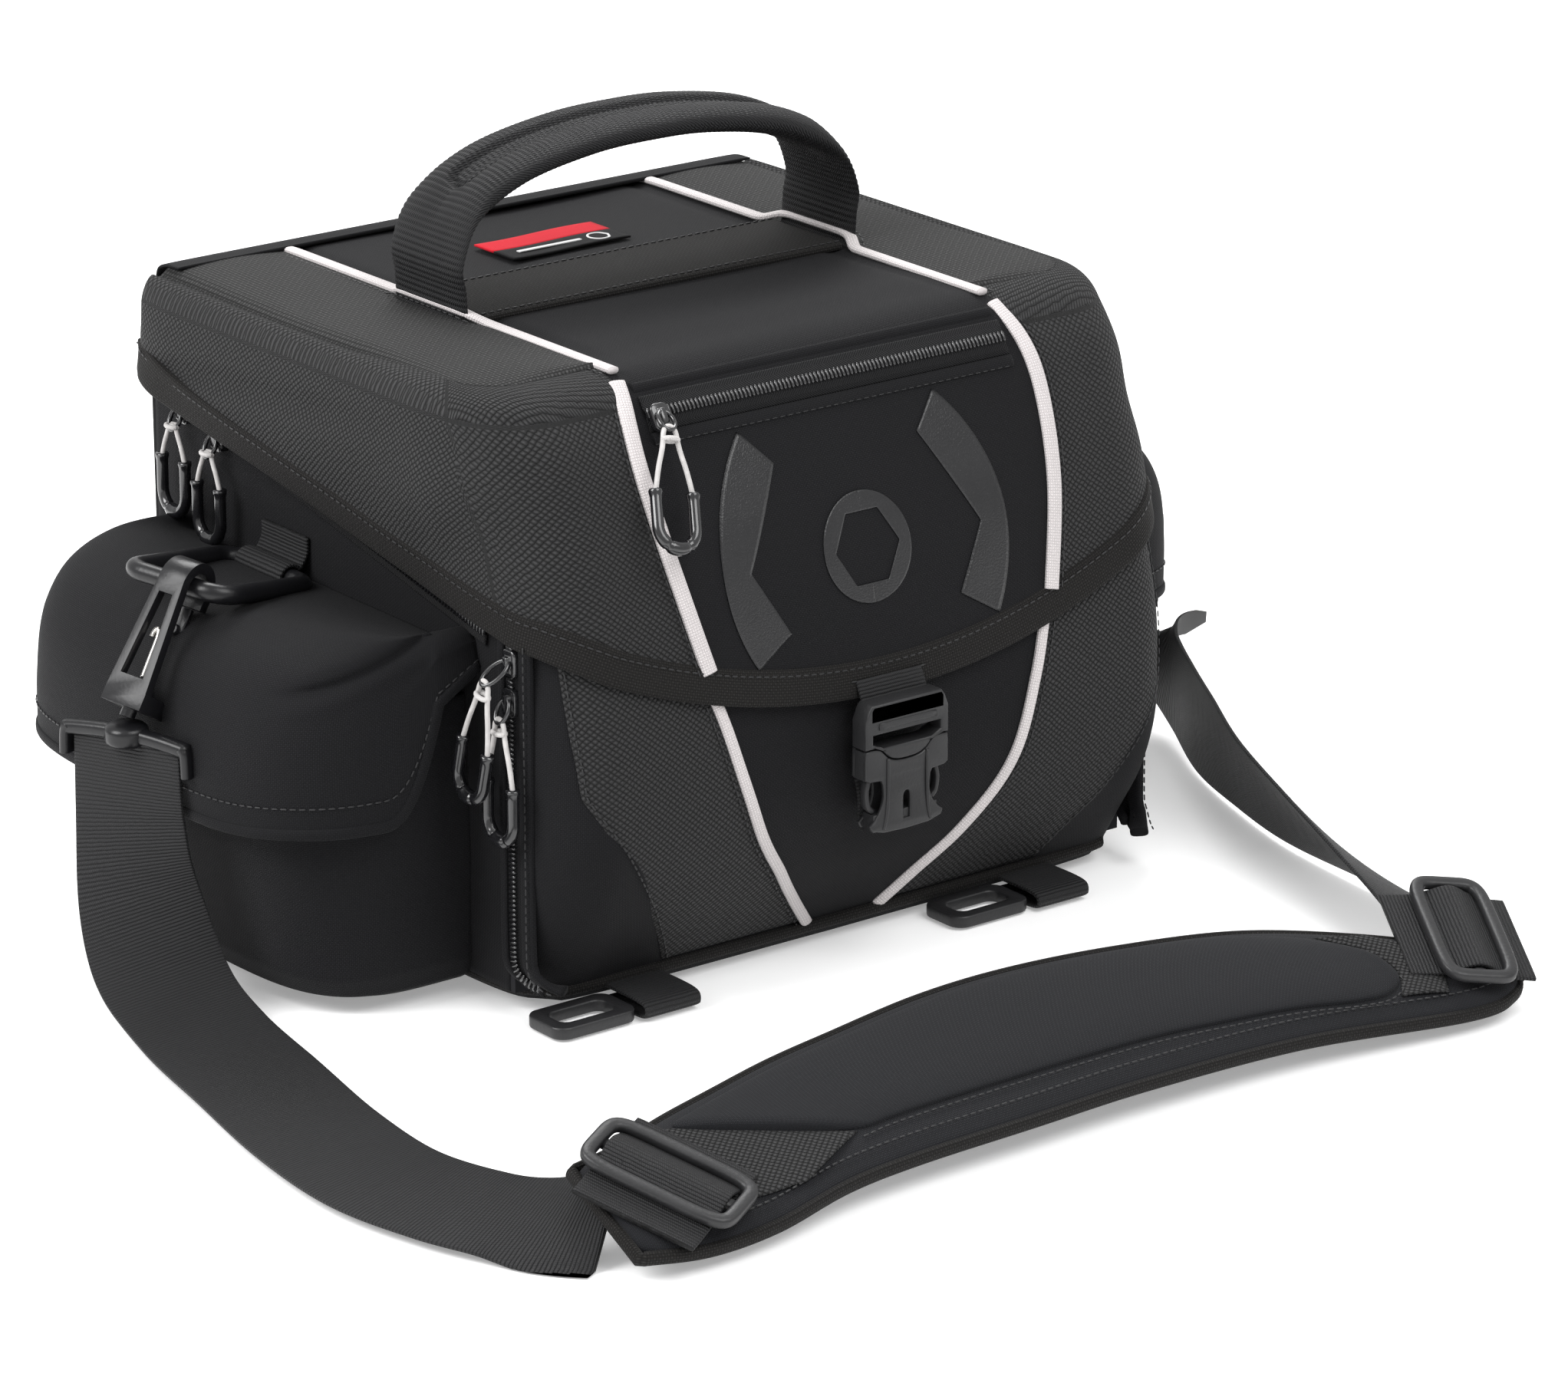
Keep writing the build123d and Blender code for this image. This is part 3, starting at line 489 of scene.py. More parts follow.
def bead(length, width, height):
    """A short rounded bar of 24 points: four rings of six, the outer two drawn in."""
    x = np.array([-0.5, -0.36, 0.36, 0.5]) * length
    size = np.array([0.35, 1.0, 1.0, 0.35])
    t = np.arange(6) * math.pi / 3
    y = np.cos(t) * width / 2
    z = np.sin(t) * height / 2
    shape = np.stack([np.repeat(x, 6), (size[:, None] * y).ravel(), (size[:, None] * z).ravel()], -1)
    i, j = np.meshgrid(np.arange(3), np.arange(6), indexing="ij")
    a, b = i * 6 + j, i * 6 + (j + 1) % 6
    faces = np.stack([a, b, b + 6, a + 6], -1).reshape(-1, 4).tolist()
    faces += [[3, 2, 1, 0], [5, 4, 3, 0], [18, 19, 20, 21], [18, 21, 22, 23]]
    return shape, faces


def stitches(name, path, normal, body, length=2.6, gap=1.1, width=0.75):
    """A sewn line: one bead for each stitch, lying along the path on the cloth."""
    path = np.asarray(path, float)
    run = arc(path)
    at = np.arange(length / 2, run[-1], length + gap)
    ahead = read_at(at + 0.4, run, path) - read_at(at - 0.4, run, path)
    out = read_at(at, run, np.broadcast_to(np.asarray(normal, float), path.shape))
    shape, faces = bead(length, width, width * 0.8)
    piece = repeated(name, shape, faces, read_at(at, run, path), ahead, out, THREAD)
    return place(piece, body, "binding")


def grid_normals(grid, inside):
    """Normal at every point of a grid, away from the point inside."""
    n = unit(np.cross(np.gradient(grid, axis=0), np.gradient(grid, axis=1)))
    sign = np.sign((n * (grid - np.asarray(inside, float))).sum(-1).sum())
    return n * sign


# %% Hard parts from the frame, with their edges broken
def softened(node_name, material, slot, body, width=0.5, angle=32):
    """A copy of a CAD part whose sharp edges get the small radius that a mould leaves."""
    source = NODES[node_name]
    piece = bpy.data.objects.new(node_name + "_moulded", source.data.copy())
    bpy.context.scene.collection.objects.link(piece)
    bm = bmesh.new()
    bm.from_mesh(piece.data)
    bmesh.ops.remove_doubles(bm, verts=bm.verts, dist=2e-6)
    bmesh.ops.dissolve_limit(bm, angle_limit=math.radians(2.5), verts=bm.verts, edges=bm.edges)
    bm.to_mesh(piece.data)
    bm.free()
    edge = piece.modifiers.new("edges", "BEVEL")
    edge.width = width * MM
    edge.segments = 2
    edge.limit_method = "ANGLE"
    edge.angle_limit = math.radians(angle)
    edge.use_clamp_overlap = True
    applied(piece)
    piece.data.materials.clear()
    piece.data.materials.append(material)
    piece.data.polygons.foreach_set("use_smooth", [True] * len(piece.data.polygons))
    piece.data.set_sharp_from_angle(angle=math.radians(40))
    return place(piece, body, slot, node_name)

# %% [markdown]
# ## Zip pulls
# Each slider carries a ring, a loop of white elastic cord and a U-shaped rubber grip. The cord is
# a length of soft cord, so it is one smooth spline through a few given points. It is
# knotted round itself above the grip, and the grip is a bar whose radius swells at the bend.

# %% Where the pulls hang
CORD_D = 2.0
GRIP_L = 21.0   # how far the grip's ends stand above its lowest point
PULLS = {   # origin, local x, local up, length, tilt in degrees, distance from the cloth, all in mm
    "flap_zip": ((-83, -115.6, 226), (1, 0, 0), (0, 0.53, 0.848), 54, 17, 2.2),
    "pocket_upper": ((-151.1, -116.5, 143.5), (0, -1, 0), (0, 0, 1), 56, 14, 7.6),
    "pocket_lower": ((-151.1, -116.5, 128), (0, -1, 0), (0, 0, 1), 54, 0, 2.2),
    "main_rear": ((-151.1, 105, 190.138), (0, -1, 0), (0, 0, 1), 41, 0, 2.2),
    "main_front": ((-151.1, 80, 184.813), (0, -1, 0), (0, 0, 1), 41, 0, 2.2),
}


def pull_place(points, spec):
    """Local to world: the zip lies in local y = 0, +z is up, -y points away from the cloth."""
    origin, x, up, length, tilt, stand = spec
    x, up = np.array(x, float), unit(np.array(up, float))
    a = math.radians(tilt)
    p = np.asarray(points, float)
    lean = np.stack([p[:, 0] * math.cos(a) + p[:, 2] * math.sin(a), p[:, 1],
                     p[:, 2] * math.cos(a) - p[:, 0] * math.sin(a)], -1)
    return np.array(origin) + lean @ np.stack([x, np.cross(up, x), up])


# %% One length of elastic cord
def elastic(name, points):
    """One smooth spline of elastic cord with these control points, in millimetres."""
    curve = bpy.data.curves.new(name, "CURVE")
    curve.dimensions = "3D"
    curve.bevel_depth = CORD_D / 2 * MM
    curve.bevel_resolution = 3
    curve.use_fill_caps = True
    line = curve.splines.new("NURBS")
    line.points.add(len(points) - 1)
    for spot, p in zip(line.points, points):
        spot.co = (*(np.asarray(p) * MM), 1.0)
    line.order_u = 3
    line.use_endpoint_u = True
    line.resolution_u = 10
    curve.materials.append(CORD)
    piece = bpy.data.objects.new(name, curve)
    bpy.context.scene.collection.objects.link(piece)
    return piece


# %% Cord loops, rings, knots and grips
for name, spec in PULLS.items():
    length, stand = spec[3], spec[5]
    top, y, half = -(length - GRIP_L), -5.4 - stand, 8.2
    route = [(-half, y, top), (-half + 1.6, y, top * 0.72), (-3.4, y, top * 0.42), (-2.5, y, -5.5),
             (2.5, y, -5.5), (3.4, y, top * 0.42), (half - 1.6, y, top * 0.72), (half, y, top)]
    route = pull_place(route, spec)
    cord = place(elastic(name + "_elastic", route), name + "_pull", "pull_cord", name + "_cord")
    start, away, up = pull_place([(0, 0, 0), (0, -1, 0), (0, 0, 1)], spec)

    t = np.linspace(0, 2 * math.pi, 40, endpoint=False)
    reach = np.array([0, y + 4.6, -6.6])
    far = np.linalg.norm(reach)
    down = reach / far
    loop = (np.array([0, -4.6, 0.6]) + down * (far / 2) + xyz(3.4 * np.sin(t), 0, 0)
            + np.outer(np.cos(t) * (far / 2 + 1.2), down))
    ring = ring_bar(name + "_ring", pull_place(loop, spec), away - start, oval(2.0, 1.7, 12),
                    SLIDER_METAL)
    place(ring, name + "_pull", "slider_metal")

    knot = np.linspace(0, 1, 30) * 2 * math.pi
    wrap = xyz(3.1 * np.cos(knot), y - 0.2 + 1.9 * np.sin(knot), top * 0.42 + 3)
    hitch = tube(name + "_hitch", pull_place(wrap, spec), 1.0, up - start, CORD, sides=10)
    place(hitch, name + "_pull", "pull_cord")

    low = top - GRIP_L
    bend = np.linspace(math.pi, 2 * math.pi, 25)
    leg = np.linspace(top + 1.5, low + half + 1, 9)
    arch = smooth(np.vstack([xyz(-half, y, leg),
                             xyz(half * np.cos(bend), y, low + half + half * np.sin(bend)),
                             xyz(half, y, leg[::-1])]), 90)
    run = np.linspace(-1, 1, 90)
    collar = 0.45 * np.exp(-((np.abs(run) - 0.97) / 0.05) ** 2)
    belly = 0.55 * np.exp(-(run / 0.2) ** 2) - 0.5 * np.exp(-((np.abs(run) - 0.16) / 0.025) ** 2)
    grip = tube(name + "_rubber", pull_place(arch, spec), 2.35 + collar + belly, away - start,
                RUBBER, sides=16)
    place(grip, name + "_pull", "grip_rubber", name + "_grip")
    softened(name + "_slider", SLIDER_METAL, "slider_metal", name + "_slider", width=0.7)
print("pulls:", list(PULLS))

# %% [markdown]
# ## The wall of the bag
# Seen from above, the bag is a rectangle with rounded front corners. Seen from the side, its
# front bulges and then leans back to the lid. One function holds both: it takes the distance s
# round the wall from the middle of the front, the height z and how far out of the cloth the point
# lies. Panels, piping, zips and hems all ask it for their points, so that they lie on each other.

# %% The wall as a function
HALF_W, CORNER, BACK_Y, LID_Z = 150.5, 25.0, 137.0, 241.0
HEM_LOW, HEM_R = 111.0, 320.0      # lowest point of the flap's hem and the radius of its arc
SIDE_END = 131.0                   # y at which the lid's cloth stops on the side
LID_PIPING_X, LID_CLOTH_Z = 90.0, 241.4
FRONT = smooth([(-121, 8), (-130, 23), (-143, 45), (-151, 72), (-150.5, 100), (-148, 118),
                (-144, 134), (-134, 173), (-120, 208), (-108, 228), (-93, 241), (-75, 252)], 500)
PIPING_LINE = smooth([(90, 243), (96, 225), (97, 205), (93, 173), (84, 134), (79, 116), (63, 69),
                      (45, 42), (30, 24), (14, 6)], 300)
FLAT_S = HALF_W - CORNER
TURN_S = FLAT_S + CORNER * math.pi / 2


def front_y(z):
    """y of the front at a height, read off its side view."""
    return np.interp(z, FRONT[:, 1], FRONT[:, 0])


def piping_x(z):
    """Half distance between the two piping lines at a height."""
    return np.interp(z, PIPING_LINE[::-1, 1], PIPING_LINE[::-1, 0])


def wall(s, z, out=0.0, side=-1.0):
    """Point on the wall. s is 0 at the middle of the front and grows round the corner to the back
    on that side: straight, then a quarter circle of radius CORNER, then straight back."""
    s, z, out = (p.astype(float) for p in np.broadcast_arrays(s, z, out))
    angle = np.clip((s - FLAT_S) / CORNER, 0, math.pi / 2)
    beyond = np.maximum(s - TURN_S, 0)
    x = np.minimum(s, FLAT_S) + (CORNER + out) * np.sin(angle)
    y = front_y(z) + CORNER - (CORNER + out) * np.cos(angle) + beyond
    return np.stack([side * x, y, z], -1)


def side_s(y, z):
    """The distance round the wall at which the side reaches y."""
    return TURN_S + (y - front_y(z) - CORNER)


def side_hem_z(y):
    """Lower edge of the flap along the side: a line that climbs towards the back."""
    return 151.0 + 0.213 * (y + 121.0)


def hem_z(s):
    """Lower edge of the flap: an arc across the front, then the rising line of the side."""
    x = np.clip(s, -HALF_W, HALF_W)
    front = HEM_LOW + HEM_R - np.sqrt(HEM_R ** 2 - x ** 2)
    rise = side_hem_z(front_y(148.0) + CORNER + (s - TURN_S))
    w = np.clip((s - FLAT_S) / (TURN_S - FLAT_S), 0, 1)
    return front * (1 - w) + rise * w


def ripple(p, size, seed):
    """Soft uneven swelling of cloth: a few slow sines of x, y and z with fixed phases."""
    x, y, z = (p[..., k] for k in range(3))
    return (np.sin(x / size + 1.7 * seed) * np.cos(y / (0.8 * size) + 0.6 * seed + z / (1.9 * size))
            + 0.5 * np.sin(z / (0.6 * size) + y / (1.4 * size) + 2.3 * seed)) / 1.5


def hump(x, centre, width):
    """A bell: 1 at the centre, e to the minus square of the distance in widths."""
    return np.exp(-((x - centre) / width) ** 2)


print("wall length round one side", round(float(side_s(SIDE_END, 150.0)), 1), "mm")

# %% [markdown]
# ## Body panels
# The body is padded nylon over foam, so each wall is a thin sheet that swells between its seams.
# The front has a black middle between two white piping lines, then a panel of diamond mesh, then
# black corners. The panels are laid on one another as cloth is: the mesh stands a little proud.

# %% Front pocket, its mesh panels and its corners
z = np.linspace(8, 176, 90)[:, None]
s_end = side_s(-119.5, z)
s = np.linspace(-1, 1, 150)[None] * s_end
face = np.where((s < 0)[..., None], wall(-s, z, 0.0, -1.0), wall(s, z, 0.0, 1.0))
swell = 1.2 * np.sin(np.clip((z - 8) / 168, 0, 1) * math.pi) * ripple(face, 34, 1.0)
face = np.where((s < 0)[..., None], wall(-s, z, swell, -1.0), wall(s, z, swell, 1.0))
cloth_panel("front_pocket_cloth", face, NYLON, 2.4, "bag_body", "nylon", "front_pocket_panel")

MESH_EDGE = {   # outer edge of the mesh panel as (half x, z), from the flap's hem to the base
    "left": [(146, 150), (145.5, 120), (143, 95), (117, 55), (96, 24), (89, 12)],
    "right": [(150, 150), (150, 115), (142, 84), (124, 50), (108, 26), (98, 12)],
}
for name, side in SIDES.items():
    if name == "right":
        line = smooth(MESH_EDGE[name], 80)
    else:   # the left edge is cut straight from point to point
        half_x, level = np.array(MESH_EDGE[name][::-1]).T
        z = np.linspace(150, 12, 80)
        line = np.stack([np.interp(z, level, half_x), z], -1)
    z = line[:, 1:2]
    c = np.linspace(0, 1, 40)[None]
    s = piping_x(z) - 1.0 + (line[:, :1] - piping_x(z) + 1.0) * c
    out = np.sin(np.pi * c) ** 0.6 * np.sin(np.clip((z - 10) / 150, 0, 1) * math.pi) ** 0.5
    out = 0.5 + 1.1 * out + 0.5 * ripple(wall(s, z, 0, side), 26, 2.0)
    cloth_panel(f"front_mesh_{name}", wall(s, z, out, side), MESH, 0.8, "bag_body", "mesh",
                flat=np.stack([s, z + 0 * s], -1))
    stitches(f"front_mesh_seam_{name}", wall(line[:, 0] - 2.2, line[:, 1], 1.3, side),
             wall(line[:, 0], line[:, 1], 5, side) - wall(line[:, 0], line[:, 1], 0, side), "bag_body")

# %% Side walls and the back
for name, side in SIDES.items():
    y = np.linspace(-110, 129, 90)[:, None]
    t = np.linspace(0, 1, 70)[None]
    zz = 9 + side_hem_z(y) * t
    out = np.sin(np.pi * t) + 0.7 * ripple(xyz(150.0, y, zz), 30, 3.0)
    cloth_panel(f"side_cloth_{name}", xyz(side * (HALF_W + 0.2 + out * 0.6), y, zz), NYLON, 2.4,
                "bag_body", "nylon", f"side_panel_{name}")

x = np.linspace(-1, 1, 120)[None]
z = np.linspace(9, 236, 90)[:, None]
depth = 4.0 * (1 - np.abs(x) ** 8) * (1 - np.abs((z - 122) / 114) ** 8)
back = xyz(x * (HALF_W - 0.5), BACK_Y - 4.0 + depth, z)
back[..., 1] += 0.5 * ripple(back, 40, 4.0)
cloth_panel("back_cloth", back, NYLON, 3.0, "bag_body", "nylon", "back_panel")
for level in (16.0, 229.0):
    line = xyz(np.linspace(-142, 142, 120), BACK_Y + 0.4, level)
    stitches(f"back_seam_{int(level)}", line, (0, 1, 0), "bag_body")

# %% [markdown]
# ## The hinge
# The lid turns on nothing more than cloth: one strip is sewn to the back and to the lid. Here it
# is one fixed strip along the fold, put on no body.

# %% Strip of cloth that joins the lid to the back
fold_line = smooth([(137.4, 221), (138.4, 229), (138.6, 235.5), (136.6, 240), (131, 242.2),
                    (122, 242.6)], 40)
path = xyz(0.0, fold_line[:, 0], fold_line[:, 1])
strip = surface("hinge_cloth", carried(path, (1, 0, 0), oval(286, 1.4, 60, 9.0)), NYLON, loop=True,
                ends=True)
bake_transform(strip)

# %% Base with its cord welt
plan = [(-138, 130), (-146, 122), (-148, 0), (-147, -90), (-138, -114), (-118, -121), (0, -122.5)]
half = smooth(plan, 90)
edge = np.vstack([half, half[::-1][1:] * [-1, 1]])
edge = np.vstack([edge, [(x, 131.5) for x in np.linspace(138, -138, 40)[1:-1]]])
rings = [(1.0, 9.5), (1.0, 6.5), (0.985, 3.0), (0.95, 0.8), (0.9, 0.0), (0.5, 0.0), (0.02, 0.0)]
tray = np.stack([xyz(edge[:, 0] * k, edge[:, 1] * k, h) for k, h in rings])
piece = surface("base_cloth", tray, NYLON, loop=True, inside=(0, 0, 40))
place(piece, "bag_body", "nylon", "base_panel")
welt = xyz(edge[:, 0] * 1.004, edge[:, 1] * 1.004, 8.2)
piece = ring_bar("base_welt", welt, (0, 0, 1), oval(5.0, 5.0, 12), CANVAS)
place(piece, "bag_body", "binding")

# %% [markdown]
# ## The zips
# A coil zip is two tapes with herringbone weave and, between them, a row of tiny teeth. The tape
# is a thin strip carried along the wall; the teeth are one small bead repeated along the same
# path, which is how many equal parts are made cheaply.


# %% Zip strips
TOOTH_GAP, TOOTH = 1.9, (4.2, 1.25, 1.3)   # spacing, then length, width and height of a tooth


def zip_strip(name, path, out, body, nodes=(), width=13.0):
    """Two tapes and a coil along a path on the cloth. out is the direction away from the cloth."""
    path = np.asarray(path, float)
    out = unit(np.broadcast_to(np.asarray(out, float), path.shape))
    tangent = unit(np.gradient(path, axis=0))
    across = np.cross(out, tangent)
    u = np.array([-1, -0.9, -0.3, -0.22, -0.1, 0.1, 0.22, 0.3, 0.9, 1])
    h = np.array([0.1, 0.7, 0.8, 1.5, 1.9, 1.9, 1.5, 0.8, 0.7, 0.1])
    grid = (path[:, None] + across[:, None] * (u * width / 2)[None, :, None]
            + out[:, None] * h[None, :, None])
    cloth_panel(name + "_tape", grid, ZIP_TAPE, 0.6, body, "zip_tape", *nodes,
                inside=(path - out * 40).mean(0))
    run = arc(path)
    at = np.arange(0.8, run[-1], TOOTH_GAP)
    spot, sides, outs = (read_at(at, run, values) for values in (path, across, out))
    shape, faces = bead(*TOOTH)
    teeth = repeated(name + "_coil", shape, faces, spot + outs * h.max(), sides, outs, SLIDER_METAL)
    return place(teeth, body, "zip_tape")


for name, side in SIDES.items():
    turn = np.linspace(0, math.pi / 2, 14)
    drop = np.stack([np.full(60, -115.8), np.linspace(152, 27, 60)], -1)
    foot = np.stack([-127.8 + 12 * np.cos(turn), 27 - 12 * np.sin(turn)], -1)
    line = smooth(np.vstack([drop[::8], foot[2:]]), 130)
    path = xyz(side * (HALF_W + 0.8), line[:, 0], line[:, 1])
    path[:, 0] -= side * np.clip(-118 - path[:, 1], 0, 20) * 0.45
    nodes = ("front_pocket_zip",) if name == "left" else ()
    zip_strip(f"pocket_zip_{name}", path, (side, 0, 0), "bag_body", nodes, width=9)
    for k, (shift, wide) in enumerate(((-7.6, 7.5), (6.0, 4.0))):
        strip = path + np.array([side * 0.6, shift, 0.0])
        strip[:, 0] -= side * np.clip(-121 - strip[:, 1], 0, 20) * 0.3
        closed_strip(f"pocket_zip_fold_{name}_{k}", strip, (0, 1, 0), oval(wide, 3.4, 18, 3.0), NYLON,
                     "bag_body", "nylon")
    seam = path + np.array([side * 2.6, -9.6, 0.0])
    stitches(f"pocket_zip_seam_{name}", seam, (side, -0.2, 0), "bag_body")
    y = np.linspace(-100, 126, 120)
    path = xyz(side * (HALF_W + 1.0), y, side_hem_z(y) - 4.0)
    zip_strip(f"main_zip_{name}", path, (side, 0, 0), "bag_body",
              ("main_zip",) if name == "left" else ())

# %% [markdown]
# ## Piping
# The white lines are flat woven piping, five to seven millimetres wide, sewn into the seams. Each
# is one rounded strip carried along a line on the wall. It climbs over the handle's strip.


# %% Piping on the body and the lid
def piping_strip(name, path, out, body, nodes=(), width=5.0):
    """Piping along a path on the cloth. out is the direction away from the cloth."""
    out = np.broadcast_to(np.asarray(out, float), path.shape)
    across = np.cross(out, unit(np.gradient(path, axis=0)))
    return closed_strip(name, path, across, oval(width, 2.8, 18, 2.6), PIPING, body, "piping", *nodes)


for name, side in SIDES.items():
    z = np.linspace(9.5, 122, 120)
    s = piping_x(z)
    out = wall(s, z, 5.0, side) - wall(s, z, 0.0, side)
    piping_strip(f"body_piping_{name}", wall(s, z, 1.0, side), out, "bag_body",
                 ("body_piping",) if name == "left" else ())
    stitches(f"body_piping_seam_{name}", wall(s + 5.2, z, 1.4, side), out, "bag_body")
    z = np.linspace(float(hem_z(np.array(82.0))) + 12, 238.5, 150)
    s = piping_x(z)
    normal = wall(s, z, 5.0, side) - wall(s, z, 0.0, side)
    tilt = np.clip((z - 215) / 26, 0, 1)[:, None]
    normal = unit(unit(normal) * (1 - tilt) + np.array([0, 0, 1.0]) * tilt * 1.2)
    piping_strip(f"flap_piping_{name}", wall(s, z, 4.8, side), normal, "lid",
                 ("lid_piping",) if name == "left" else (), width=6.8)
    stitches(f"flap_piping_seam_{name}", wall(s + 5.0, z, 5.2, side), normal, "lid")
    y = np.linspace(-97, 133, 160)
    over = np.exp(-((y - 14.5) / 27) ** 8)
    path = xyz(side * (LID_PIPING_X + 5 * over), y, 241.9 + 3.4 * over - 1.6 * hump(y, 136, 10))
    piping_strip(f"lid_piping_{name}", path, (0, 0, 1), "lid")
    stitches(f"lid_piping_seam_{name}", path + np.array([side * 5.2, 0, -0.4]), (0, 0, 1), "lid")
print("piping laid")

# %% [markdown]
# ## The lid
# The lid is one soft shell: a black middle that runs from the hem up the front and over the top,
# and a wing on each side that wraps the corner. A wing is a single grid whose rows climb from the
# hem, roll over the edge and end on the piping. It is cut at the seam on the edge into two cloths,
# open diamond mesh below and a finer mesh on top. The wings are puffed: they bulge out below the
# top edge, with slanting creases and a dent, and the puff fades towards the back.


# %% How far the lid stands off the body
def lid_out(s, z, side):
    """Outer face of the lid's cloth: 4 mm off the body, plus the puff of the wings."""
    onside = np.clip((s - TURN_S + 14) / 40, 0, 1)
    onside = onside * onside * (3 - 2 * onside)
    p = wall(s, z, 0, side)
    rear = np.sqrt(1 - np.clip((p[..., 1] - 105) / 26.5, 0, 1) ** 2)
    amount = rear * (1.0 if side < 0 else 0.7)
    puff = onside * amount * (7.0 * hump(z, 205, 26) + 1.6 * hump(z, 180, 50))
    fold = np.clip((s - 100) / 50, 0, 1) * amount
    slant = (p[..., 1] * 0.55 + (z - 200)) / 9.0
    crease = fold * 1.3 * np.sin(slant) * hump(p[..., 1], -95, 60) * hump(z, 198, 26)
    dent = hump(z, 222 - 0.06 * (p[..., 1] + 94), 5) * np.clip((p[..., 1] + 60) / 60, 0, 1)
    dent = -2.2 * fold * dent
    return 4.0 + puff + crease + dent + 0.5 * ripple(p, 36, 5.0)


def over_the_edge(first, last, turn):
    """Quarter roll from the wall's top to the top panel: a quadratic curve through the edge."""
    first, last = np.broadcast_arrays(first, last)
    edge = np.stack([first[..., 0], first[..., 1], last[..., 2]], -1) * 0.75 + last * 0.25
    return first * (1 - turn) ** 2 + edge * 2 * turn * (1 - turn) + last * turn ** 2


# %% Middle of the lid
TOP_Y = front_y(LID_Z) + 8      # where the roll over the front edge ends on the top
CLIMBED, ROLLED = 0.5, 0.58     # shares of the rows at which the climb and the roll end
b = np.linspace(0, 1, 170)[:, None]
c = np.linspace(-1, 1, 96)[None]
start = hem_z(np.abs(c) * 82.0)
zz = start + (229 - start) * np.clip(b / CLIMBED, 0, 1)
low = xyz(c * piping_x(zz), front_y(zz) - 4.2 - 0.5 * (1 - c ** 2) * hump(zz, 170, 40), zz)
turn = np.clip((b - CLIMBED) / 0.08, 0, 1)[..., None]
y_top = TOP_Y + (BACK_Y - TOP_Y) * np.clip((b - ROLLED) / 0.42, 0, 1)
top = xyz(c * LID_PIPING_X, y_top, LID_CLOTH_Z)
rim = xyz(c * LID_PIPING_X, TOP_Y, LID_CLOTH_Z)
sheet = np.where(b[..., None] < ROLLED, over_the_edge(low, rim, turn), top)
flat_top = np.clip((b - 0.56) / 0.06, 0, 1)
sheet[..., 2] += flat_top * (0.9 * ripple(sheet, 30, 6.0) - 0.8 + 1.2 * hump(sheet[..., 1], -70, 20))
sheet[..., 2] -= flat_top * 1.2 * hump(np.abs(sheet[..., 0]), 84, 4)
back_drop = np.clip((b - 0.975) / 0.025, 0, 1)
sheet[..., 2] -= 5 * back_drop ** 2
cloth_panel("lid_middle_cloth", sheet, NYLON, 2.6, "lid", "nylon", "flap_centre", "lid_top_panel")

# %% Wings of the lid
FRONT_PART, CORNER_PART = 0.18, 0.32      # shares of the columns that end the front and the corner
WING_CLIMBED, WING_ROLLED = 0.64, 0.74    # shares of the rows that end the climb and the roll
SEAM_SHARE = 0.735                        # share of the rows at which the two cloths meet
for name, side in SIDES.items():
    a = np.linspace(0, 1, 170)[None]
    b = np.linspace(0, 1, 120)[:, None]

    def wing_s(z):
        """Distance round the wall for each column: from the piping to the back of the side."""
        first = piping_x(z) + (FLAT_S - piping_x(z)) * a / FRONT_PART
        bend = FLAT_S + (TURN_S - FLAT_S) * (a - FRONT_PART) / 0.14
        last = TURN_S + (side_s(SIDE_END, z) - TURN_S) * (a - CORNER_PART) / 0.68
        return np.where(a < FRONT_PART, first, np.where(a < CORNER_PART, bend, last))

    start = hem_z(wing_s(150.0))
    zz = start + (230.0 - start) * np.clip(b / WING_CLIMBED, 0, 1)
    s = wing_s(zz)
    low = wall(s, zz, lid_out(s, zz, side), side)
    rim = wall(wing_s(LID_Z), LID_Z, -5.0, side)
    inner_y = np.interp(a, [0, FRONT_PART, CORNER_PART, 1], [-86, -76, -60, BACK_Y])
    inner = xyz(side * LID_PIPING_X, inner_y, LID_CLOTH_Z)
    turn = np.clip((b - WING_CLIMBED) / 0.1, 0, 1)[..., None]
    out = np.clip((b - WING_ROLLED) / 0.26, 0, 1)[..., None]
    sheet = np.where(b[..., None] < WING_ROLLED, over_the_edge(low, rim, turn),
                     rim + (inner - rim) * out)
    lie = np.clip((b - 0.7) / 0.06, 0, 1)
    sheet[..., 2] += lie * (0.9 * ripple(sheet, 34, 7.0) + 1.5 * np.sin(np.pi * out[..., 0]))
    groove = hump(b, SEAM_SHARE, 0.018) * np.clip((a - 0.34) / 0.2, 0, 1) * (1.0 if side < 0 else 0.6)
    sheet[..., 2] -= 3.0 * groove
    sheet[..., 2] -= 5 * np.clip((sheet[..., 1] - 131) / 6, 0, 1) ** 2 * lie
    inward = (np.maximum(154 - np.abs(sheet[..., 0]), 0)
              + np.where(a < CORNER_PART, sheet[..., 1] + 97, 0))
    flat = np.stack([np.where(a < CORNER_PART, s, TURN_S + sheet[..., 1] + 90),
                     np.where(b < WING_CLIMBED, zz, 236 + inward)], -1)
    seam_row = int(np.searchsorted(b[:, 0], SEAM_SHARE))
    cloth_panel(f"lid_wing_{name}", sheet[:seam_row + 1], MESH, 2.6, "lid", "mesh",
                f"flap_wing_{name}", flat=flat[:seam_row + 1])
    cloth_panel(f"lid_wing_top_{name}", sheet[seam_row:], FINE_MESH, 2.6, "lid", "mesh",
                flat=sheet[seam_row:, :, :2])

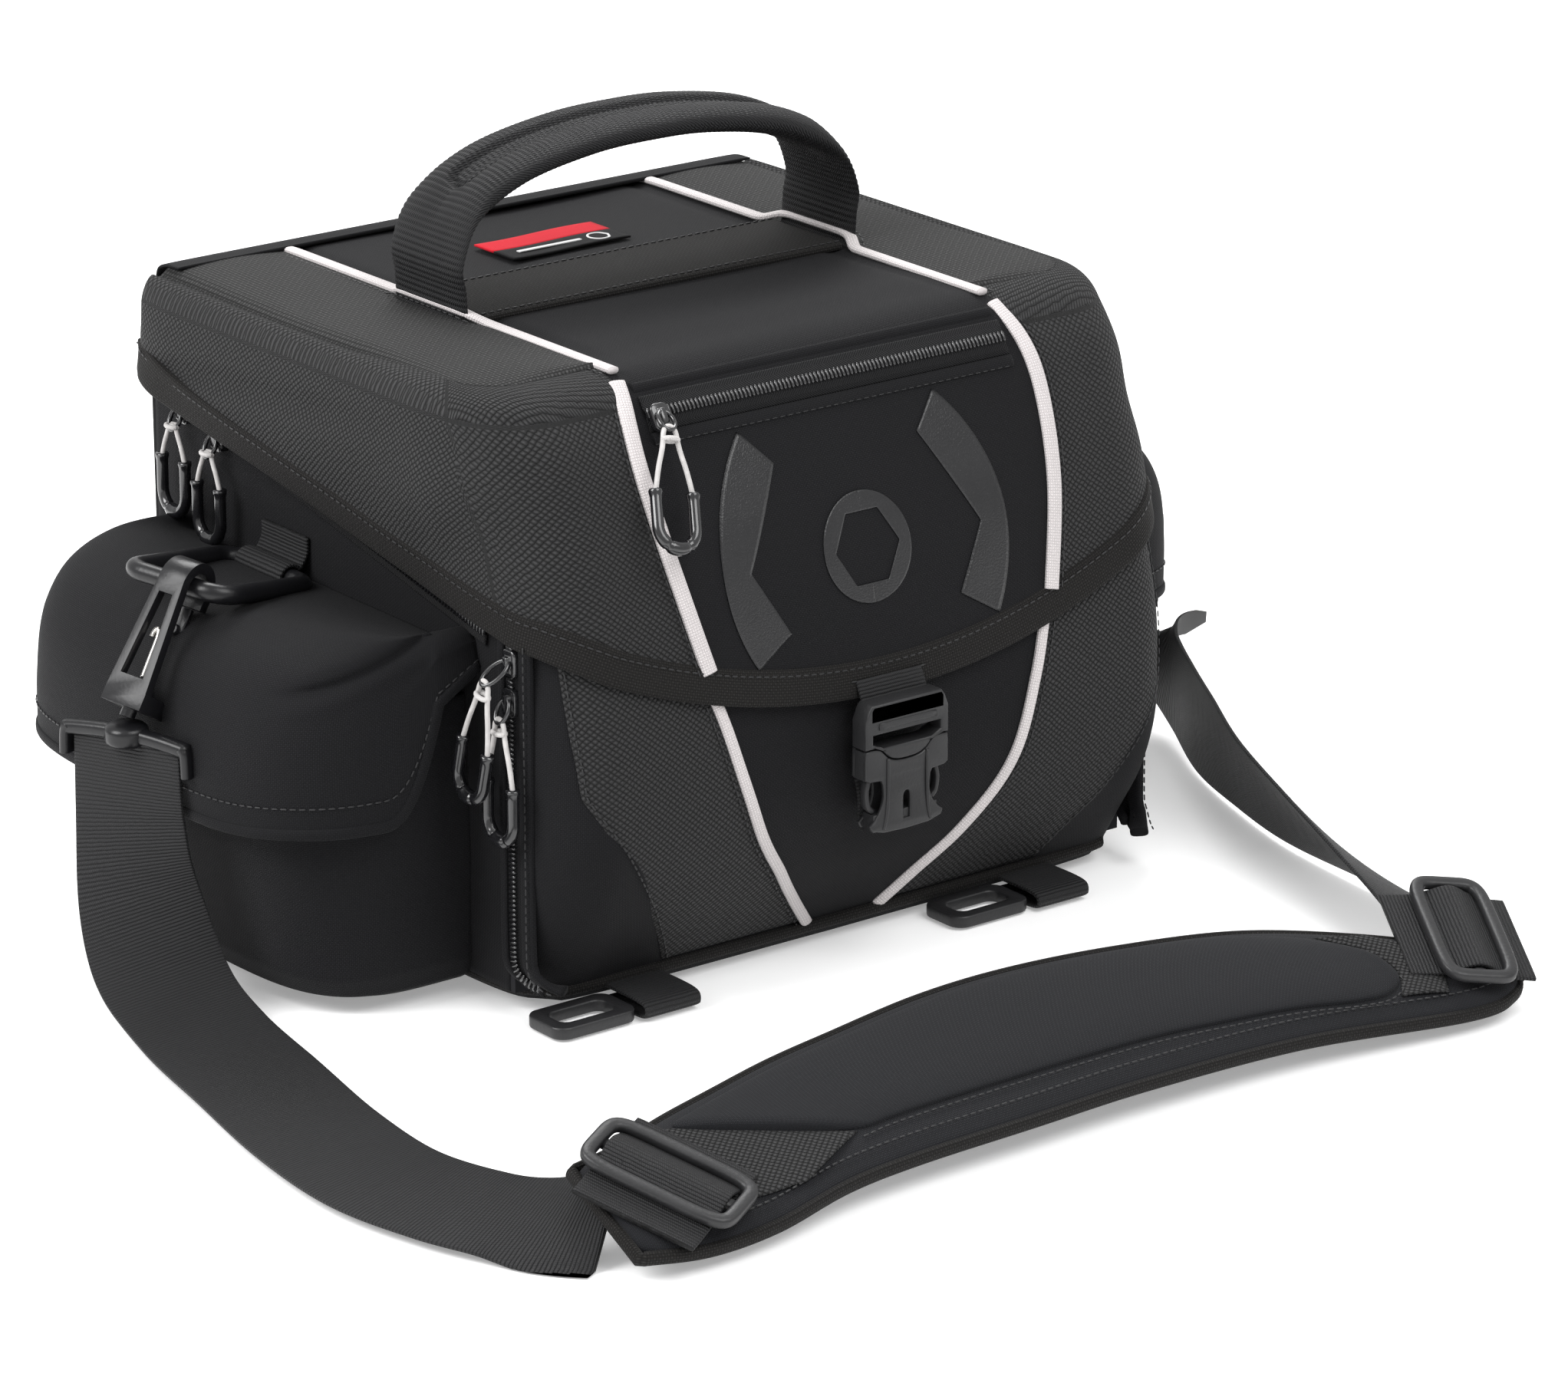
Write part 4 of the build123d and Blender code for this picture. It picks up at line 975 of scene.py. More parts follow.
# %% Binding round the hem, and its stitching
tape_s = np.linspace(-1, 1, 420)
end = float(side_s(SIDE_END, 204.0))
s = np.abs(tape_s) * end
left, right = tape_s < 0, tape_s >= 0
z = hem_z(s)


def on_lid(lift, off):
    """Points on the lid that far above the hem and off the cloth, from the left end to the right."""
    height = z + lift
    points = np.empty((len(s), 3))
    for side, mask in ((-1.0, left), (1.0, right)):
        points[mask] = wall(s[mask], height[mask], lid_out(s[mask], height[mask], side) + off, side)
    return points


middle = on_lid(6.3, -1.5)
lift = on_lid(9.0, -1.5) - on_lid(3.0, -1.5)
closed_strip("hem_binding", middle, lift, oval(14.4, 4.9, 30, 5.0), CANVAS, "lid", "binding",
             "flap_binding")
stitches("hem_seam", on_lid(11.2, 1.15), on_lid(6.0, 9) - on_lid(6.0, 0), "lid")
mask = np.abs(tape_s * end + 1.5) < 19
stitches("hem_seam_webbing", on_lid(6.5, 1.35)[mask], (0, -1, 0), "lid")

# %% Zip of the flap's slim pocket, and the seams beside it
x = np.linspace(-87.5, 87.5, 90)
slope = unit(np.array([0, -0.848, 0.53]))
path = xyz(x, front_y(227.5) - 4.6, 227.5)
zip_strip("flap_zip", path, slope, "lid", ("flap_zip",), width=15)
for label, level, lift in (("low", 217.5, 4.9), ("high", 237.0, 5.4)):
    line = xyz(x, front_y(level) - lift, level + 0.4)
    stitches(f"flap_zip_seam_{label}", line, slope, "lid")
for label, level, size in (("low", 219.4, 2.6), ("high", 235.6, 3.4)):
    closed_strip(f"flap_zip_fold_{label}", xyz(x, front_y(level) - 4.4, level), (0, 0.53, 0.848),
                 oval(5.0, size, 16, 2.6), NYLON, "lid", "nylon")

# %% Strip under the handle, its seams, and the woven label
x = np.linspace(-88, 88, 100)
closed_strip("handle_strip_cloth", xyz(x, 14.0, 241.9), (0, 1, 0), oval(49, 3.4, 40, 7.0), CANVAS,
             "lid", "webbing", "handle_strip")
for k, y in enumerate((-8.0, 36.0)):
    stitches(f"handle_strip_seam_{k}", xyz(x, y, 243.75), (0, 0, 1), "lid")
for label, ys, finish in (("red", (66.5, 80), LABEL_RED), ("black", (52.5, 66.5), LABEL_BLACK)):
    u, v = np.meshgrid(np.linspace(-29, 29, 24), np.linspace(*ys, 8), indexing="ij")
    cloth_panel(f"label_{label}", xyz(u, v, 242.8 + 0.25 * np.sin(u / 9)), finish, 0.8, "lid", "nylon",
                inside=(0, 60, 0))
t = np.linspace(0, 2 * math.pi, 7)
corners = xyz(18 + 4.6 * np.cos(t), 59.5 + 4.6 * np.sin(t), 243.1)
corners[-1] = corners[0]
hexagon = smooth(corners, 60)
mark = ring_bar("label_hexagon", hexagon[:-1], (0, 0, 1), oval(0.5, 1.1, 8), LABEL_WHITE)
place(mark, "lid", "nylon")
closed_strip("label_bar", xyz(np.linspace(-22, 9, 20), 59.5, 243.1), (0, 1, 0),
             oval(2.2, 0.6, 12, 4.0), LABEL_WHITE, "lid", "nylon")

# %% [markdown]
# ## The printed ring on the flap
# The flap carries a glossy print. It is a plain six-sided iris ring: a round outside, a hexagon
# inside, cut off by the zip above and by the hem below.

# %% Printed iris
for name, side in SIDES.items():
    for label, r_low, r_high in (("outer", 54.0, 69.0), ("inner", 15.0, 21.0)):
        r = np.linspace(0, 1, 12)[None]
        t = np.linspace(0, 1, 80)[:, None]
        top_a = math.asin(min(50.0 / r_high, 1.0)) if label == "outer" else math.pi / 2
        low_a = -math.asin(0.52) if label == "outer" else -math.pi / 2
        angle = low_a + (top_a - low_a) * t
        flat_six = np.cos(math.pi / 6) / np.cos((angle % (math.pi / 3)) - math.pi / 6)
        inner = r_low * flat_six * 1.04
        radius = inner + (r_high - inner) * r
        zz = 166.0 + radius * np.sin(angle)
        xx = side * radius * np.cos(angle) - 2.0
        bulge = 0.5 * (1 - (xx / LID_PIPING_X) ** 2) * hump(zz, 170, 40)
        cloth_panel(f"iris_{label}_{name}", xyz(xx, front_y(zz) - 4.75 - bulge, zz), RAISED_INK, 0.5,
                    "lid", "nylon", inside=(0, 0, 150))

# %% [markdown]
# ## The handle
# A wide ribbed webbing is folded into a padded arch. One path goes from the lid up, over and down
# again. Its section is flat at the sewn ends and swells in the middle, where two long grooves,
# joined at their ends, show the fold. The ribs are real: the thickness rises and falls once for each rib.

# %% Handle
RIB_H, RIB_PITCH = 0.62, 2.4
half_path = [(95, 240.5), (96, 256), (97, 268), (88, 285), (64, 298), (30, 304.6), (0, 306)]
line = smooth(half_path + [(-x, z) for x, z in reversed(half_path[:-1])], 800)
k = np.linspace(-1, 1, len(line))
path = xyz(line[:, 0], 14.5, line[:, 1] - 3.0)
padded_part = np.clip((0.76 - np.abs(k)) / 0.2, 0, 1)
padded_part = (padded_part ** 2 * (3 - 2 * padded_part))[:, None]
u = np.linspace(-1, 1, 49)
u = np.concatenate([u, u[-2:0:-1]])
upper_side = np.where(np.arange(96) < 49, 1.0, -1.0)
w = u * (24.2 - 2.6 * padded_part)
edge_round = (1 - np.abs(u) ** 5) ** 0.5
thick = 1.2 + padded_part * (2.6 + 1.6 * (1 - (np.abs(u) - 0.55) ** 2 / 0.2))
run = arc(path)
ribs = RIB_H * np.abs(np.sin(run * math.pi / RIB_PITCH))[:, None] * (0.35 + 0.65 * edge_round)
beyond = np.maximum(np.abs(run - run[-1] / 2) - (run[-1] * 0.3 - 6), 0)[:, None]
from_fold = np.sqrt(beyond ** 2 + w ** 2) - 6.0
fold = 2.3 * hump(from_fold, 0, 1.5) + 0.8 * (from_fold < 0) * padded_part
h = upper_side * (edge_round * (thick - fold * padded_part) + ribs)
section = np.stack([w, h], -1)
arch = surface("handle_webbing", carried(path, (0, 1, 0), section), HANDLE_WEB, loop=True,
               ends=True)
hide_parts("carry_handle")
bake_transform(arch)
print("lid and handle made")

# %% [markdown]
# ## Side pockets
# A pouch is a tube of cloth whose plan is a rounded rectangle: its rows shrink towards the floor
# to make the rounded bottom. Its flap is a dome: every row is a rounded plan again, and the rows
# run from the hem up and over to the seam on the wall. The cloth is tucked down at the wall, and a
# dart takes in its front corner. The right pouch is pressed in at the front, so it is shorter there.

# %% Pouches and flaps
WALL_X, POUCH_Y = 151, 12.5                 # the wall that the pouches hang on, and their middle
FRONT_LENGTH = {"left": 1.0, "right": 0.7}  # how much of its length the front end of each keeps
CREST_Z, FLAP_HEM_Z, SEAM_ROW = 147.6, 75, 9
w = np.linspace(-1, 1, 1001)
t = math.pi / 2 * np.sign(w) * (1 - (1 - np.abs(w)) ** 3)
plan = np.stack([np.cos(t) ** 0.42, np.sign(w) * np.abs(np.sin(t)) ** 0.5], -1)
plan = smooth(plan[::10] * [80, 100], 190) / [80, 100]
across_plan, along_plan = np.maximum(plan[:, 0], 0)[None], plan[:, 1][None]
for name, side in SIDES.items():
    v = np.linspace(0, 1, 80)[:, None]
    fore = np.where(along_plan < 0, FRONT_LENGTH[name], 1.0)
    height = np.interp(v, [0, 0.1, 0.2, 0.3, 1], [4.5, 5, 8, 16, 122])
    reach = np.interp(v, [0, 0.1, 0.2, 0.3, 0.6, 1], [6, 56, 67, 71, 73, 69])
    depth = np.interp(v, [0, 0.1, 0.2, 0.3, 0.6, 1], [70, 90, 95, 97.5, 98.5, 96])
    bag = xyz(side * (WALL_X + reach * across_plan), POUCH_Y + depth * along_plan * fore, height)
    grow = 1.8 * ripple(bag, 24, 8.0 + side) * np.clip((v - 0.12) * 5, 0, 1) * across_plan
    bag[..., 0] += side * grow
    bag[..., 1] += grow * along_plan * np.abs(along_plan)
    cloth_panel(f"pouch_cloth_{name}", bag, NYLON, 2.4, "bag_body", "nylon", f"side_pocket_{name}",
                inside=(side * 160, 12, 60))

    v = np.linspace(0, 1, 110)[:, None]
    prof = smooth([(89, FLAP_HEM_Z), (89.5, 98), (86, 121), (75, 139), (55, 147.5), (32, 146.5),
                   (12, 143), (1, 141)], 110)
    reach, height = prof[:, :1], prof[:, 1:]
    depth = np.interp(v, [0, 0.35, 0.6, 1], [105.5, 103, 96, 88])
    x = WALL_X + reach * across_plan
    y = POUCH_Y + depth * along_plan * fore
    from_wall = 89 * across_plan
    tuck = 45 * np.clip((44 - from_wall) / 25, 0, 1) ** 2.2 + 12 * np.clip(1 - from_wall / 19, 0, 1)
    height = (CREST_Z - (CREST_Z - height) * (1 - tuck / (CREST_Z - FLAP_HEM_Z))
              + 4 * hump(along_plan, -0.95, 0.3) * (1 - v))
    cap = xyz(side * x, y, height)
    loose = 1.5 * ripple(cap, 26, 10.0 + side) * across_plan
    dart = (cap[..., 2] - 150) - (np.abs(cap[..., 0]) - 165) * -0.29
    dart_on = np.clip((236 - np.abs(cap[..., 0])) / 20, 0, 1) * np.clip((-62 - y) / 12, 0, 1)
    pinch = dart_on * (2.4 * hump(dart, 0, 1.5) - 1.1 * hump(np.abs(dart), 5.5, 3.0))
    cap[..., 0] += side * (loose - 0.4 * pinch)
    cap[..., 1] += 0.9 * pinch
    cap[..., 2] += loose * np.clip((v - 0.35) * 3, 0, 1) * np.clip((1 - v) * 4, 0, 1)
    cap[..., 2] -= 0.3 * pinch
    piece = surface(f"pouch_flap_cloth_{name}", cap, NYLON, inside=(side * 190, 12, 90))
    thicken(piece, 2.6)
    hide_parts(f"side_pocket_flap_{name}")
    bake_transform(piece)
    normals = grid_normals(cap, (side * 190, 12, 90))
    stitches(f"pouch_flap_seam_{name}", cap[SEAM_ROW] + normals[SEAM_ROW] * 0.3, normals[SEAM_ROW],
             f"pocket_flap_{name}")
    closed_strip(f"pouch_flap_hem_{name}", cap[1] - normals[1] * 1.2, (0, 0, 1),
                 oval(5.0, 4.0, 16, 3.0), NYLON, f"pocket_flap_{name}", "nylon")

# %% [markdown]
# ## Rings and hooks
# A short webbing tab holds a plastic ring on each side, and a swivel hook snaps into the ring. The
# hook's frame and gate come from the CAD with their edges broken. Its foot is made here: a bowed
# T-bar with a round hub and two prongs that hold the strap's webbing, and a steel wire that springs
# the gate. Both are described for the left side, and the right one is their mirror image.

# %% Webbing tabs, hooks and their feet
SWIVEL = np.array([-251.5, -2.0, 109.5])   # the left hook's ball
ACROSS = np.array([0.35, -0.937, 0.0])     # along the strap's width
INWARD = np.array([0.937, 0.35, 0.0])      # from the hook to the bag
HOOK_UP = unit(np.array([0.53, 0.075, 0.845]))
HOOK_WIDE = unit(ACROSS - HOOK_UP * (HOOK_UP @ ACROSS))
HOOK_OUT = np.cross(HOOK_UP, HOOK_WIDE)
TAB_Y, TAB_ROLL = 36, 5.2                  # the ring tab's place and the radius it wraps round
PRONG_X = 28.2


def on_base(points, side):
    """Points of the foot: x along the strap's width, y to the bag, z up from the swivel."""
    q = SWIVEL + np.asarray(points, float) @ np.stack([ACROSS, INWARD, [0.0, 0.0, 1.0]])
    return q * [-side, 1, 1]


for name, side in SIDES.items():
    t = np.linspace(0.2 * math.pi, 1.86 * math.pi, 40)
    wrap = xyz(side * (160.0 - TAB_ROLL * np.cos(t)), TAB_Y, 143.0 + TAB_ROLL * np.sin(t))
    wrap = np.vstack([[[side * 152.0, TAB_Y, 158.0], [side * 152.4, TAB_Y, 151.5]], wrap,
                      [[side * 152.0, TAB_Y, 136.5]]])
    closed_strip(f"ring_tab_{name}", smooth(wrap, 90), (0, 1, 0), oval(32, 1.8, 30, 6.0), WEBBING,
                 "bag_body", "webbing", *(("dring_tabs",) if name == "left" else ()))
    NODES[f"dring_{name}"].data.materials.clear()
    NODES[f"dring_{name}"].data.materials.append(HOOK_PLASTIC)
    softened(f"hook_frame_{name}", HOOK_PLASTIC, "hook_plastic", f"hook_{name}", 1.5)

    mirror = np.array([-side, 1, 1])
    inward = INWARD * mirror
    bx = np.linspace(-29, 29, 30)
    closed_strip(f"hook_base_bar_{name}", on_base(xyz(bx, 0, -4.4 - 0.0028 * bx ** 2), side), inward,
                 oval(6.6, 5.6, 18, 2.8), HOOK_PLASTIC, f"ring_{name}", "hook_plastic",
                 f"hook_base_{name}")
    hub_z = np.linspace(-9.6, 0.2, 24)
    hub_r = 4.4 + 4.2 * (1 - np.abs((hub_z + 4.7) / 4.95) ** 4)
    hub = tube(f"hook_base_hub_{name}", on_base(xyz(0, 0, hub_z), side), hub_r, inward, HOOK_PLASTIC,
               sides=28)
    place(hub, f"ring_{name}", "hook_plastic")
    for k, px in enumerate((-PRONG_X, PRONG_X)):
        drop = smooth([(px * 0.94, 0, -5.2), (px, 0, -7.5), (px * 1.015, 0, -12),
                       (px * 1.02, 0, -17)], 24)
        closed_strip(f"hook_base_prong_{name}_{k}", on_base(drop, side), inward,
                     oval(7.0, 4.2, 16, 2.8), HOOK_PLASTIC, f"ring_{name}", "hook_plastic")
    softened(f"hook_gate_{name}", HOOK_PLASTIC, "hook_plastic", f"gate_{name}", 0.5)
    wire = smooth([(0.7, -2.2, 18), (0.7, -2.6, 27), (0.6, -2.8, 34), (-0.4, -2.8, 37.2),
                   (-1.8, -2.8, 36.6), (-2.3, -2.6, 34)], 40)
    wire = (SWIVEL + wire @ np.stack([HOOK_WIDE, HOOK_OUT, HOOK_UP])) * mirror
    spring = tube(f"hook_spring_{name}", wire, 1.0, HOOK_OUT * mirror, STEEL, sides=12)
    place(spring, f"gate_{name}", "gate_steel")
print("hooks made")

# %% [markdown]
# ## The buckle
# A side-release buckle is two mouldings. The socket is a shallow box, open at the top, with a
# smiling seam, two windows and a slot; the plug is a frame with a tongue and two springy arms that
# push into it. Flat mouldings are drawn as an outline with holes and given a thickness with a
# rounded edge, which is how Blender's own 2D curves work. The arms are bars carried along a bow.


# %% Plates cut from an outline
BUCKLE_X = -1.5                     # the buckle hangs a little left of the middle
FRONT_Y, REAR_Y = -165.8, -156.6    # its front and rear faces


def plate(name, outline, holes, y_front, y_back, rounded, body, nodes=()):
    """A flat moulding: an outline of (x, z) with holes, between two y, its edges rounded."""
    curve = bpy.data.curves.new(name, "CURVE")
    curve.dimensions = "2D"
    curve.fill_mode = "BOTH"
    curve.extrude = ((y_back - y_front) / 2 - rounded) * MM
    curve.bevel_depth = rounded * MM
    curve.bevel_resolution = 2
    curve.offset = -rounded * MM
    for line in [outline] + holes:
        spline = curve.splines.new("POLY")
        spline.points.add(len(line) - 1)
        for spot, (px, pz) in zip(spline.points, line):
            spot.co = ((px + BUCKLE_X) * MM, pz * MM, 0, 1)
        spline.use_cyclic_u = True
    piece = bpy.data.objects.new(name, curve)
    bpy.context.scene.collection.objects.link(piece)
    mesh = bpy.data.meshes.new_from_object(piece.evaluated_get(bpy.context.evaluated_depsgraph_get()))
    bpy.data.objects.remove(piece)
    bm = bmesh.new()
    bm.from_mesh(mesh)
    bmesh.ops.remove_doubles(bm, verts=bm.verts, dist=1e-6)
    for vert in bm.verts:
        vert.co = (vert.co.x, (y_front + y_back) / 2 * MM - vert.co.z, vert.co.y)
    bmesh.ops.recalc_face_normals(bm, faces=bm.faces)
    bm.to_mesh(mesh)
    bm.free()
    mesh.materials.clear()
    mesh.materials.append(BUCKLE_PLASTIC)
    mesh.polygons.foreach_set("use_smooth", [True] * len(mesh.polygons))
    mesh.set_sharp_from_angle(angle=math.radians(35))
    solid = bpy.data.objects.new(name, mesh)
    bpy.context.scene.collection.objects.link(solid)
    return place(solid, body, "buckle_plastic", *nodes)


def mirrored_line(half):
    """A closed outline from its right half, listed from the top middle to the bottom middle."""
    return list(half) + [(-px, pz) for px, pz in reversed(half) if px > 0.01]


def box_line(x0, x1, z0, z1):
    """The outline of a rectangle between two x and two z."""
    return [(x0, z0), (x1, z0), (x1, z1), (x0, z1)]


# %% Socket
closed_strip("socket_tab_webbing", smooth([(BUCKLE_X, -152.5, 78), (BUCKLE_X, -154.3, 72),
                                           (BUCKLE_X, -154.6, 62)], 30),
             (1, 0, 0), oval(31, 1.8, 30, 6.0), WEBBING, "bag_body", "webbing", "socket_tab")
smile = smooth([(0, 86.6), (5, 87.0), (9, 88.6), (12.5, 92), (15, 93), (20, 93)], 24).tolist()
shell = smile + [(20.3, 90), (20.3, 81.5), (18.5, 80.3), (12.5, 79.8)] + smooth(
    [(11.6, 78), (11.2, 73), (12.6, 68), (15.4, 64.2), (18.0, 62.2)], 14).tolist() + [
    (17.0, 60), (11, 58.4), (0, 58)]
slot = smooth([(-1.5, 62.5), (-1.5, 72), (0, 73.6), (1.5, 72), (1.5, 62.5)], 20).tolist()
plate("socket_front", mirrored_line(shell), [slot], FRONT_Y, -163.4, 0.9, "bag_body", ("buckle_socket",))
plate("socket_back", mirrored_line(shell), [], -158.4, REAR_Y, 0.6, "bag_body")
for label, outline in (("wall_left", box_line(-20.2, -18.2, 81, 92.6)),
                       ("wall_right", box_line(18.2, 20.2, 81, 92.6)),
                       ("foot", [(-16, 59), (16, 59), (15.5, 66), (-15.5, 66)])):
    plate("socket_" + label, outline, [], -164.6, -157.4, 0.5, "bag_body")
for label, px in (("left", -9.6), ("right", 9.6)):
    flute = np.array([(px + BUCKLE_X, FRONT_Y, 88.5), (px + BUCKLE_X, FRONT_Y - 0.2, 75),
                      (px * 1.06 + BUCKLE_X, FRONT_Y, 66), (px * 1.2 + BUCKLE_X, FRONT_Y + 0.2, 60)])
    place(tube(f"socket_flute_{label}", smooth(flute, 24), 0.8, (1, 0, 0), BUCKLE_PLASTIC), "bag_body",
          "buckle_plastic")

# %% Plug, its arms and the webbing through it
top_smile = [(px, pz + 0.5) for px, pz in reversed(smile)]
frame_line = [(0, 111.2), (17, 111.2), (18.6, 109), (20.3, 104.5), (20.3, 93.5)] + top_smile[1:]
windows = [box_line(-16.6, 16.6, 105.4, 109.4),
           [(-16.6, 95.4), (-12, 93.2), (12, 93.2), (16.6, 95.4), (16.6, 99), (-16.6, 99)]]
plate("plug_frame", mirrored_line(frame_line), windows, FRONT_Y, REAR_Y, 0.9, "buckle_plug",
      ("buckle_plug",))
plate("plug_tongue", box_line(-5, 5, 72, 88), [], -163.2, -159, 0.5, "buckle_plug")
closed_strip("plug_grip_bar", xyz(np.linspace(-14, 14, 12) + BUCKLE_X, FRONT_Y + 0.1, 102.3), (0, 0, 1),
             oval(2.8, 1.4, 16, 2.6), BUCKLE_PLASTIC, "buckle_plug", "buckle_plastic")
for name, side in SIDES.items():
    bow = smooth([(14.2, 92.5), (14.4, 86), (16.2, 80), (17.4, 75), (16.6, 69.5), (14.2, 66.8)], 40)
    closed_strip(f"plug_arm_{name}", xyz(side * bow[:, 0] + BUCKLE_X, -161.1, bow[:, 1]), (0, 1, 0),
                 oval(4.0, 2.2, 16, 3.0), BUCKLE_PLASTIC, f"buckle_arm_{name}", "buckle_plastic",
                 f"buckle_arm_{name}")
for name, body, line, nodes in (
        ("plug_webbing", "lid", [(-153.4, 118), (-156.2, 112.5), (-157.6, 109.5)], ("buckle_webbing",)),
        ("plug_webbing_end", "buckle_plug",
         [(-157.8, 111), (-160.0, 108), (-158.8, 103.5), (-158.4, 96.5)], ())):
    line = smooth(line, 40)
    closed_strip(name, xyz(BUCKLE_X, line[:, 0], line[:, 1]), (1, 0, 0), oval(32, 1.6, 30, 6.0), WEBBING,
                 body, "webbing", *nodes)
print("buckle made")

# %% [markdown]
# ## Shoulder strap
# The webbing is fifty millimetres wide and two thick. It leaves each hook, falls to the floor and
# comes round to the pad. Its path and its width direction are both smooth curves through a few
# stations, so the band twists as real webbing does. Its flat length is worked out and printed.

# %% Webbing from hook to pad
TILT = math.radians(20.0)
PAD_ORIGIN = np.array([0, -345, 3.2])
STRAP_W, STRAP_T = 49.5, 2.0
PAD_UP = np.array([0, math.cos(TILT), math.sin(TILT)])
PAD_OUT = np.array([0, -math.sin(TILT), math.cos(TILT)])


def on_pad(x, s, rise):
    """Point on the pad's slope: x along the bag, s up the slope, rise off it."""
    x, s, rise = (p[..., None] for p in np.broadcast_arrays(x, s, rise))
    return PAD_ORIGIN + x * np.array([1.0, 0, 0]) + s * PAD_UP + rise * PAD_OUT


# %% Stations of the strap
STRAP = {   # stations of each band: its middle, and the direction of its width
    "left": [((-251.5, -2, 103.5), (0.35, -0.937, 0)), ((-253, -5, 70), (0.4, -0.92, 0)),
             ((-257, -16, 42), (0.55, -0.83, 0)), ((-262, -40, 19), (0.8, -0.6, 0)),
             ((-267, -75, 9), (0.93, -0.28, 0.12)), ((-276, -125, 7.5), (0.95, -0.15, 0.14)),
             ((-287, -180, 7.5), (0.96, -0.1, 0.14)), ((-291, -228, 7.5), (0.96, 0.1, 0.14)),
             ((-284, -266, 8), (0.85, 0.45, 0.16)), ((-274, -292, 9), (0.6, 0.75, 0.2)),
             (tuple(on_pad(-262, 24, 1.4)), tuple(PAD_UP))],
    "right": [((251.5, -2, 103.5), (0.35, 0.937, 0)), ((253, -2, 70), (0.3, 0.95, 0)),
              ((256, -10, 47), (0.2, 0.7, 0.65)), ((250, -32, 31), (0.05, 0.25, 0.96)),
              ((232, -66, 27), (-0.05, 0.1, 0.99)), ((214, -105, 26.5), (-0.2, 0.1, 0.97)),
              ((196, -150, 25), (-0.4, 0.15, 0.9)), ((184, -200, 22.5), (-0.62, 0.2, 0.75)),
              ((176, -245, 19), (-0.78, 0.25, 0.55)), ((168, -283, 17), (-0.75, 0.55, 0.35)),
              (tuple(on_pad(152, 34, 4.2)), (-0.45, 0.84, 0.3))],
}
for name, side in SIDES.items():
    centre = np.array([p for p, a in STRAP[name]], float)
    across = np.array([a for p, a in STRAP[name]], float)
    both = smooth(np.hstack([centre, across * 40]), 240)
    grid = carried(both[:, :3], both[:, 3:], oval(STRAP_W, STRAP_T, 36, 8.0))
    grid[..., 2] = np.maximum(grid[..., 2], 0.3)
    piece = surface(f"strap_band_{name}", grid, WEBBING, loop=True, ends=True)
    length = float(arc(both[:, :3])[-1]) * MM
    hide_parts(f"strap_webbing_{name}")
    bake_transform(piece)
    print("strap", name, "flat length", round(length, 3), "m")

# %% [markdown]
# ## Shoulder pad
# The pad is foam in cloth. Its outline is two smooth edges; between them, a closed section swells
# in the middle and thins towards the ends. A raised cover with a round end lies on it, and the
# mesh shows at both ends. A black welt runs round the edge.

# %% Pad and cover
PAD_UPPER = [(-262, 50), (-238, 54), (-213, 61), (-188, 66.5), (-157, 73), (-126, 77.5), (-78, 83.5),
             (-34, 84), (16, 79), (67, 69), (112, 50), (152, 27)]
PAD_LOWER = [(-264, 2), (-237, -3.5), (-206, -2), (-169, 6), (-134, 9), (-80, 10), (-24, 11), (50, 8),
             (125, -3), (150, 0), (161, 10)]
upper, lower = smooth(PAD_UPPER, 180), smooth(PAD_LOWER, 180)


def rounded(t, power):
    """x and y of a superellipse of radius 1: cos and sin raised to a power, signs kept."""
    return tuple(np.sign(w) * np.abs(w) ** power for w in (np.cos(t), np.sin(t)))


def pillow(upper, lower, low, high, crown, square=3.0, round_ends=0.05, sides=56):
    """Closed padded shape between two edges, from rise low to rise high, plus a crown on top."""
    u = np.linspace(0, 1, len(upper))
    end = np.clip(np.minimum(u, 1 - u) / round_ends, 0, 1)
    end = (1 - (1 - end) ** 2.4) ** (1 / 2.4)
    t = np.linspace(0, 2 * math.pi, sides, endpoint=False)
    c, h = rounded(t, 2 / square)
    middle, half = (upper + lower) / 2, (upper - lower) / 2
    shrink = 0.55 + 0.45 * end
    x = middle[:, :1] + half[:, :1] * c * shrink[:, None]
    s = middle[:, 1:] + half[:, 1:] * c * shrink[:, None]
    full = (0.12 + 0.88 * end)[:, None]
    rise = (low + high) / 2 + (high - low) / 2 * h * full
    rise = rise + crown * np.clip(h, 0, 1) * (1 - np.abs(c) ** 2.2) * full
    return on_pad(x, s, rise)


pad = pillow(upper, lower, 0.2, 10.8, 0.8, round_ends=0.03)
piece = surface("pad_body", pad, PAD_CLOTH, loop=True, ends=True)
place(piece, "bag_body", "pad_fabric", "shoulder_pad")
cover_up = smooth([(-222, 52), (-188, 60), (-157, 66.5), (-126, 71), (-78, 77), (-34, 77.5), (16, 73),
                   (55, 65), (84, 53), (101, 38)], 140)
cover_low = smooth([(-152, 24.5), (-134, 26.5), (-93, 27.5), (-20, 27.5), (25, 24), (54, 20.5), (80, 15),
                    (95, 14), (106, 20), (106, 32)], 140)
cover = pillow(cover_up, cover_low, 9.0, 13.4, 1.6, square=4.5, round_ends=0.035)
piece = surface("pad_cover_cloth", cover, PAD_CLOTH, loop=True, ends=True)
place(piece, "bag_body", "pad_fabric", "pad_cover")
rim = np.vstack([lower, upper[::-1]])
welt = ring_bar("pad_welt", smooth(on_pad(rim[:, 0], rim[:, 1], 5.6), 420)[:-1], PAD_OUT,
                oval(5.6, 4.2, 14, 2.4), CANVAS)
place(welt, "bag_body", "binding")
stitches("pad_seam_low", on_pad(cover_low[:, 0], cover_low[:, 1] - 3.2, 11.9), PAD_OUT, "bag_body")
